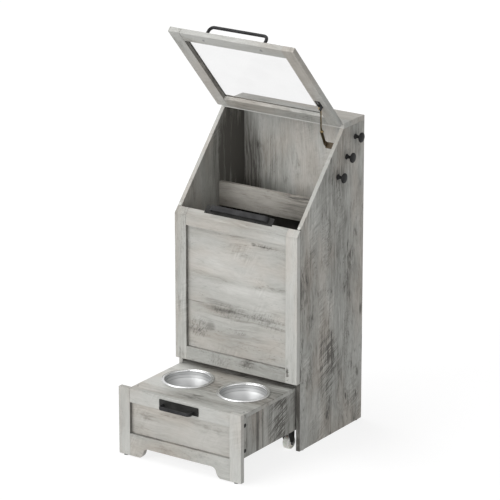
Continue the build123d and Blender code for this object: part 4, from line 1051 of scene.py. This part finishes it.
def painted_strip_table():
    """Strips of painted shade and painted light: painted shade on the recesses' walls and on the bottom
    rails' tops, painted light on the panels under their top rails, where the rails' shadow falls, painted
    shade on the front's bevelled top, a painted highlight on the top board's front edge and painted shade on
    the right side's front edge."""
    wall = 0.7 * MM
    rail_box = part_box("front_top_rail")
    # painted shade on the front's bevelled top
    slope_shade = ("Z", rail_box[1].z, (rail_box[1].y - rail_box[0].y) * 1.9, 0.16)
    return {
        # positive strengths paint shade, negative ones paint light, as the docstring lists
        "front_left_stile": [("X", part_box("front_left_stile")[1].x, wall, 0.55), slope_shade],
        "front_right_stile": [slope_shade],
        "front_top_rail": [slope_shade],
        "front_centre_panel": [("Z", rail_box[0].z, 7 * MM, -0.26)],
        "front_bottom_rail": [("Z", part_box("front_bottom_rail")[1].z, wall, 0.30)],
        "drawer_left_stile": [("X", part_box("drawer_left_stile")[1].x, wall, 0.55)],
        "drawer_centre_panel": [("Z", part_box("drawer_top_rail")[0].z, 6 * MM, -0.22)],
        "drawer_bottom_rail": [("Z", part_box("drawer_bottom_rail")[1].z, wall, 0.35)],
        # painted highlight on the top board's front edge; painted shade on the right side's front edge
        "top_board": [("Y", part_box("top_board")[0].y, 1.0 * MM, -0.35)],
        "right_side_panel": [("Y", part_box("right_side_panel")[0].y, 1.2 * MM, 0.80)],
        "lid_left_stile": [("X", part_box("lid_left_stile")[1].x, wall, 0.60)],
    }


class FEEDER_OT_boards(bpy.types.Operator):
    """Grey oak laminate on every board of the cabinet, the lid and the drawer"""

    bl_idname = "feeder.boards"
    bl_label = "Boards"

    def execute(self, context):
        group = grey_oak_group(finish_settings())
        marks = {node: on_face(node, face, places) for node, (face, places) in mark_table().items()}
        painted_strips = painted_strip_table()
        for node, cut_from in BOARDS.items():
            tilt = LID_TILT if node.startswith("lid_") else 0.0
            band_and_highlight = node in ("left_side_panel", "right_side_panel")
            own = (marks.get(node, ()), painted_strips.get(node, ()))
            set_material(node, oak_material(f"oak_{node}", group, cut_from, *own, tilt, band_and_highlight))
        set_material("lid_dowels", beech("beech_dowel", (0.45, 0.30, 0.17), (0.60, 0.43, 0.27)))
        return {"FINISHED"}


class FEEDER_OT_window(bpy.types.Operator):
    """The lid's clear pane"""

    bl_idname = "feeder.window"
    bl_label = "Window"

    def execute(self, context):
        set_material("lid_window_pane", clear_pane("clear_pane", finish_settings().pane))
        return {"FINISHED"}


# ---- Handles and pulls ----

class FEEDER_OT_pulls(bpy.types.Operator):
    """The lid's round handle and the two strap pulls with their plates"""

    bl_idname = "feeder.pulls"
    bl_label = "Handle and pulls"

    def execute(self, context):
        finish = finish_settings()
        metal = coated_metal("dark_coating", finish.handle_metal, rough=0.5, gloss=0.17)
        # the plates' darker coating is painted shade behind the straps
        plate = coated_metal("plate_coating", finish.plate_metal, rough=0.55, gloss=0.16)
        self.lid_handle(metal)
        self.drawer_pull(metal, plate)
        self.top_pull(metal, plate)
        return {"FINISHED"}

    def lid_handle(self, metal):
        """A round bar bent down at both ends, with a washer under each."""
        points = vertices_of("lid_handle")
        out = points @ np.array(LID_NORMAL)
        up = points @ np.array(LID_UP)
        radius = np.ptp(up) / 2
        base = out.min()
        reach = out.max() - radius
        half = np.ptp(points[:, 0]) / 2 - radius
        centre = RIGHT * middle(points[:, 0]) + LID_UP * middle(up)

        def spot(x, height):
            return centre + RIGHT * x + LID_NORMAL * height

        corners = [spot(-half, base), spot(-half, reach), spot(half, reach), spot(half, base)]
        path = bent(corners, size_settings().bar_corner, 12)
        parts = [sweep_parts(path, circle(radius, 24), LID_UP)]
        washer = radius * 1.28
        washer_top = radius * 1.05
        flat = 1.0 * MM
        high = 1.8 * MM
        profile = [(0, 0), (washer, 0), (washer, flat), (washer_top, high), (0, high)]
        for side in (-half, half):
            parts.append(lathe_parts(profile, 32, along_z(spot(side, base), LID_NORMAL)))
        add_piece("lid_bar_handle", parts, metal, "lid", "lid_handle")

    def drawer_pull(self, metal, plate):
        """The drawer's pull: an upright plate on the front and its strap."""
        low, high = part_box("drawer_pull_plate")
        size = high - low
        matrix = basis(((low.x + high.x) / 2, high.y, (low.z + high.z) / 2), RIGHT, UP)
        parts = [plate_parts(size.x, size.z, size.y, 1.4 * MM, 0.4 * MM, matrix)]
        add_piece("drawer_pull_backplate", parts, plate, "drawer", "drawer_pull_plate")
        self.strap("drawer_pull_bow", "drawer_pull_strap", -BACK, UP, "drawer", metal)

    def top_pull(self, metal, plate):
        """The upper pull: a plate on the front's bevel and its strap."""
        normal = face_normal("top_pull_plate", "Z")
        up = positive(normal.cross(RIGHT), "Z")
        points = vertices_of("top_pull_plate")
        out = points @ np.array(normal)
        rise = points @ np.array(up)
        origin = RIGHT * middle(points[:, 0]) + normal * out.min() + up * middle(rise)
        matrix = basis(origin, up.cross(normal), up)
        parts = [plate_parts(np.ptp(points[:, 0]), np.ptp(rise), np.ptp(out), 1.2 * MM, 0.35 * MM, matrix)]
        add_piece("top_pull_backplate", parts, plate, "cabinet", "top_pull_plate")
        self.strap("top_pull_bow", "top_pull_strap", normal, up, "cabinet", metal)

    def strap(self, name, node, out_way, width_way, body, metal):
        """A bowed strap in the place of its CAD node."""
        points = vertices_of(node)
        out = points @ np.array(out_way)
        across = points @ np.array(width_way)
        base = out.min()
        feet = np.unique(np.round(points[out < base + 0.1 * MM, 0], 5))
        left_foot = feet[feet < middle(feet)]
        thick = left_foot[-1] - left_foot[0]
        reach = out.max() - thick / 2
        left = left_foot[0] + thick / 2
        right = feet[-1] - thick / 2

        def spot(x, height):
            return RIGHT * x + width_way * middle(across) + out_way * height

        corners = [spot(left, base), spot(left, reach), spot(right, reach), spot(right, base)]
        bend = min(size_settings().strap_corner + thick / 2, (reach - base) * 0.96)
        section = soft_rectangle(np.ptp(across), thick, size_settings().strap_round)
        parts = [sweep_parts(bent(corners, bend, 10), section, width_way)]
        add_piece(name, parts, metal, body, node)


# ---- Bowls ----

class FEEDER_OT_bowls(bpy.types.Operator):
    """Two spun steel bowls with rolled rims"""

    bl_idname = "feeder.bowls"
    bl_label = "Bowls"

    def execute(self, context):
        colour = finish_settings().steel
        for word in ("left", "right"):
            node = f"bowl_{word}"
            low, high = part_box(node)
            centre = (low + high) / 2
            # heights of the painted shade lines under the rim and in the grooves
            lines = [high.z - depth * MM for depth in (4.5, 11, 20)]
            steel = spun_steel(f"bowl_steel_{word}", colour, centre, high.z - 3 * MM, lines)
            profile = self.profile((high.x - low.x) / 2, high.z - low.z)
            parts = [lathe_parts(profile, 128, Matrix.Translation((centre.x, centre.y, low.z)))]
            add_piece(f"spun_bowl_{word}", parts, steel, "drawer", node, sharp=50)
        return {"FINISHED"}

    def profile(self, rim, height):
        """The bowl's section, from the middle of its underside out, over the rim and back down inside."""
        wall = size_settings().bowl_wall
        bead = 1.3 * MM
        lip = 2.2 * MM
        mouth = rim - 7.6 * MM
        seat = height - 2 * bead
        bend = 13 * MM
        flat = mouth - 12.5 * MM - bend
        rise = 0.6 * MM
        step_z = height * 0.62
        step_in = 1.3 * MM
        shoulder = mouth - (1 - step_z / height) * 4 * MM
        outside = [(0, rise), (flat - 6 * MM, rise), (flat - 4 * MM, 0)]
        outside += arc((flat, bend), bend, -90, -12, 8)
        outside += [(shoulder - step_in - 0.4 * MM, step_z - 1.5 * MM)]
        outside += [(shoulder - 0.2 * MM, step_z + 0.6 * MM), (mouth - 0.8 * MM, seat - 3 * MM)]
        outside += arc((mouth + 1.4 * MM, seat - lip), lip, 180, 90, 5)
        outside += arc((rim - bead, seat + bead), bead, -90, 90, 8)
        crown = [(rim - 2.1 * bead, height - 1.2 * MM), (mouth + 2.4 * MM, height - 1.2 * MM)]
        crown += arc((mouth + 0.8 * MM, height - lip), lip, 70, 180, 7)
        inside = [(mouth - 0.8 * MM - wall * 1.2, seat - 4 * MM)]
        inside += [(shoulder - wall, step_z + 0.8 * MM), (shoulder - step_in - wall, step_z - 1.3 * MM)]
        inside += [(p - wall * 0.9, q + wall * 0.5) for p, q in arc((flat, bend), bend, -12, -90, 10)]
        floor = [(flat - 4 * MM, wall), (flat - 6 * MM, wall + rise), (0, wall + rise)]
        return outside + crown + inside + floor


# ---- Hooks, casters and glides ----

class FEEDER_OT_hooks(bpy.types.Operator):
    """Round knob hooks on the right side"""

    bl_idname = "feeder.hooks"
    bl_label = "Hooks"

    def execute(self, context):
        paint = coated_metal("hook_paint", finish_settings().black_metal, rough=0.45, gloss=0.13)
        parts = []
        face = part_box("right_side_panel")[1].x
        for solid in islands("side_hooks"):
            _, y, z = middle(solid)
            profile = self.profile(np.ptp(solid[:, 1]) / 2, solid[:, 0].max() - face)
            parts.append(lathe_parts(profile, 64, along_z((face, y, z), RIGHT)))
        add_piece("knob_hooks", parts, paint, "cabinet", "side_hooks", sharp=60)
        return {"FINISHED"}

    def profile(self, radius, reach):
        """The knob's section, from the stud in the panel out to the middle of the disc's face."""
        base = 8 * MM
        neck = 4.3 * MM
        disc = reach - 6 * MM
        section = [(0, -9 * MM), (2 * MM, -9 * MM), (2 * MM, 0), (base - 0.4 * MM, 0)]
        section += arc((base - 0.8 * MM, 0.8 * MM), 0.8 * MM, -60, 60, 4)
        section += [(base - 1.6 * MM, 2.2 * MM)]
        section += [(neck + 1.6 * MM, 3.3 * MM), (neck + 0.5 * MM, 4.8 * MM), (neck, 7 * MM)]
        section += [(neck, disc - 4 * MM), (neck + 0.8 * MM, disc - 2.4 * MM)]
        section += [(neck + 3 * MM, disc - 0.8 * MM), (radius - 3 * MM, disc + 0.1 * MM)]
        section += arc((radius - 1.4 * MM, disc + 1.6 * MM), 1.4 * MM, -75, 0, 5)
        section += arc((radius - 1.6 * MM, reach - 3.4 * MM), 1.6 * MM, 0, 70, 5)
        for share in (0.8, 0.6, 0.4, 0.2, 0.0):
            section.append(((radius - 1.2 * MM) * share, reach - 1.7 * MM * share * share))
        return section


class FEEDER_OT_casters(bpy.types.Operator):
    """Caster wheels with their forks and axles, and the floor glides"""

    bl_idname = "feeder.casters"
    bl_label = "Casters and glides"

    def execute(self, context):
        finish = finish_settings()
        tyre = moulded("wheel_nylon", finish.wheel, rough=0.42, soft=0.05)
        for word in ("left", "right"):
            node = f"caster_wheel_{word}"
            low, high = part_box(node)
            centre = (low + high) / 2
            profile = self.profile((high.z - low.z) / 2, (high.x - low.x) / 2, self.bore(node, centre))
            parts = [lathe_parts(profile, 72, along_z(centre, RIGHT))]
            add_piece(f"roller_{word}", parts, tyre, f"caster_{word}", node, sharp=40)
        set_material("caster_forks", coated_metal("fork_paint", finish.black_metal, rough=0.4))
        set_material("caster_axles", bare_metal("axle_zinc", finish.zinc))
        plastic = moulded("glide_plastic", finish.glide)
        for node in ("cabinet_glides", "drawer_glides"):
            set_material(node, plastic)
        set_material("lid_bumpers", moulded("bumper_rubber", finish.rubber, rough=0.7))
        return {"FINISHED"}

    def bore(self, node, centre):
        """The radius of the wheel's bore."""
        points = vertices_of(node) - np.array(centre)
        return float(np.hypot(points[:, 1], points[:, 2]).min())

    def profile(self, radius, half, bore):
        """The wheel's closed section: hub, dished web and rounded tread, about its axle."""
        hub = 6.6 * MM
        tread = half - 0.8 * MM
        web = tread - 2.6 * MM
        side = [(bore, half), (hub, half), (hub + 0.6 * MM, half - 0.6 * MM), (hub + 1.0 * MM, web)]
        side += [(radius - 6.4 * MM, web), (radius - 5.6 * MM, web + 0.8 * MM)]
        side += [(radius - 5.2 * MM, tread - 0.3 * MM), (radius - 4.6 * MM, tread)]
        side += arc((radius - 3.2 * MM, tread - 3.2 * MM), 3.2 * MM, 75, 0, 8)
        crown = [(radius, 1.2 * MM), (radius - 0.25 * MM, 0.5 * MM), (radius - 0.25 * MM, 0)]
        other = [(r, -h) for r, h in (side + crown)[::-1]]
        return side + crown + other[1:] + [(bore, half)]


# ---- Hinges, stay and fittings ----

class FEEDER_OT_fittings(bpy.types.Operator):
    """Hinges, the lid's stay, screws and cam locks"""

    bl_idname = "feeder.fittings"
    bl_label = "Hinges, stay and fittings"

    def execute(self, context):
        finish = finish_settings()
        zinc = bare_metal("zinc_plate", finish.zinc, rough=0.34)
        for node in (
            "hinge_fixed_leaves", "hinge_lid_leaves", "hinge_pins", "cabinet_cam_bolts", "drawer_cam_bolts",
        ):
            set_material(node, zinc)
        for node, metal in (
            ("stay_arm", bare_metal("stay_brass", finish.brass, rough=0.3)),
            ("stay_link", bare_metal("stay_bronze", finish.bronze, rough=0.36)),
            ("stay_side_bracket", coated_metal("bracket_coating", finish.bracket)),
            ("stay_lid_bracket", coated_metal("lid_bracket_paint", finish.black_metal)),
        ):
            set_material(node, metal)
        for name, node, body in (
            ("cabinet_screw_heads", "fitting_screws", "cabinet"),
            ("back_screw_heads", "back_panel_screws", "cabinet"),
            ("lid_screw_heads", "lid_screws", "lid"),
            ("drawer_screw_heads", "drawer_screws", "drawer"),
        ):
            self.screws(name, node, body, zinc)
        grey = coated_metal("cam_grey", finish.cam_grey, rough=0.6, gloss=0.2)
        self.cams("cabinet_cam_locks", "cabinet_cams", "cabinet", grey)
        black = coated_metal("cam_black", finish.black_metal, rough=0.5, gloss=0.2)
        self.cams("drawer_cam_locks", "drawer_cams", "drawer", black)
        return {"FINISHED"}

    def holds_pull(self, seat):
        """Whether a screw holds the upper pull: those screws are coated like its plate."""
        low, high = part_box("top_pull_plate")
        return all(low[i] - MM < seat[i] < high[i] + MM for i in range(3))

    def screws(self, name, node, body, metal):
        """Cross-head screws in the place of their CAD node's solids."""
        parts = []
        coated = []
        for solid in islands(node):
            seat, inward, radius, length = turned(solid)
            matrix = along_z(seat, -inward)
            head = cross_head_parts(radius, radius * 1.2, radius * 0.3, radius * 0.3, radius * 0.12, matrix)
            shank = [(radius, -radius * 0.12), (radius, -radius * 0.35), (radius * 0.5, -radius * 0.75)]
            shank += [(radius * 0.46, -length + radius), (0, -length)]
            parts += [head, lathe_parts(shank, 24, matrix)]
            coated += [self.holds_pull(seat)] * sum(len(faces) for _, faces in parts[-2:])
        piece = add_piece(name, parts, metal, body, node, sharp=30)
        if any(coated):
            coat = coated_metal("pull_screw_coating", finish_settings().plate_metal, rough=0.5, gloss=0.2)
            piece.data.materials.append(coat)
            piece.data.polygons.foreach_set("material_index", coated)

    def cams(self, name, node, body, metal):
        """Cam locks in the place of their CAD node's solids."""
        parts = [self.cam(solid) for solid in islands(node)]
        add_piece(name, parts, metal, body, node, sharp=30)

    def cam(self, solid):
        """A cam's cross-slotted face and its drum, on the solid's open side."""
        size = np.ptp(solid, axis=0)
        axis = int(np.argmin(size))
        ends = (solid[:, axis].min(), solid[:, axis].max())
        counts = [np.sum(np.abs(solid[:, axis] - end) < SAME_PLACE) for end in ends]
        outer = 0 if counts[0] > counts[1] else 1
        face = Vector(middle(solid))
        face[axis] = ends[outer]
        way = Vector((0, 0, 0))
        way[axis] = 2 * outer - 1
        matrix = along_z(face, way)
        radius = size.max() / 2
        depth = size[axis]
        head = cross_head_parts(radius, radius * 1.1, radius * 0.26, radius * 0.24, radius * 0.06, matrix)
        drum = [(radius, -radius * 0.06), (radius, -depth * 0.2), (radius * 0.86, -depth * 0.3)]
        drum += [(radius * 0.86, -depth), (0, -depth)]
        return joined([head, lathe_parts(drum, 24, matrix)])


# ---- Panel and main ----

STEPS = ("stage", "boards", "window", "pulls", "bowls", "hooks", "casters", "fittings")


class FEEDER_PT_panel(bpy.types.Panel):
    """Lists the feeder's pieces and settings"""

    bl_idname = "FEEDER_PT_panel"
    bl_label = "Dog feeder cabinet"
    bl_space_type = "VIEW_3D"
    bl_region_type = "UI"
    bl_category = "Feeder"

    def draw(self, context):
        layout = self.layout
        for group in (context.scene.feeder_finish, context.scene.feeder_sizes):
            for key in group.bl_rna.properties.keys():
                if key not in ("rna_type", "name"):
                    layout.prop(group, key)
        for step in STEPS:
            layout.operator(f"feeder.{step}")


CLASSES = (
    FeederFinish,
    FeederSizes,
    FEEDER_OT_stage,
    FEEDER_OT_boards,
    FEEDER_OT_window,
    FEEDER_OT_pulls,
    FEEDER_OT_bowls,
    FEEDER_OT_hooks,
    FEEDER_OT_casters,
    FEEDER_OT_fittings,
    FEEDER_PT_panel,
)


def register():
    for item in CLASSES:
        bpy.utils.register_class(item)
    bpy.types.Scene.feeder_finish = PointerProperty(type=FeederFinish)
    bpy.types.Scene.feeder_sizes = PointerProperty(type=FeederSizes)


def unregister():
    del bpy.types.Scene.feeder_finish
    del bpy.types.Scene.feeder_sizes
    for item in reversed(CLASSES):
        bpy.utils.unregister_class(item)


def main():
    register()
    for step in STEPS:
        getattr(bpy.ops.feeder, step)()


if __name__ == "__main__":
    main()
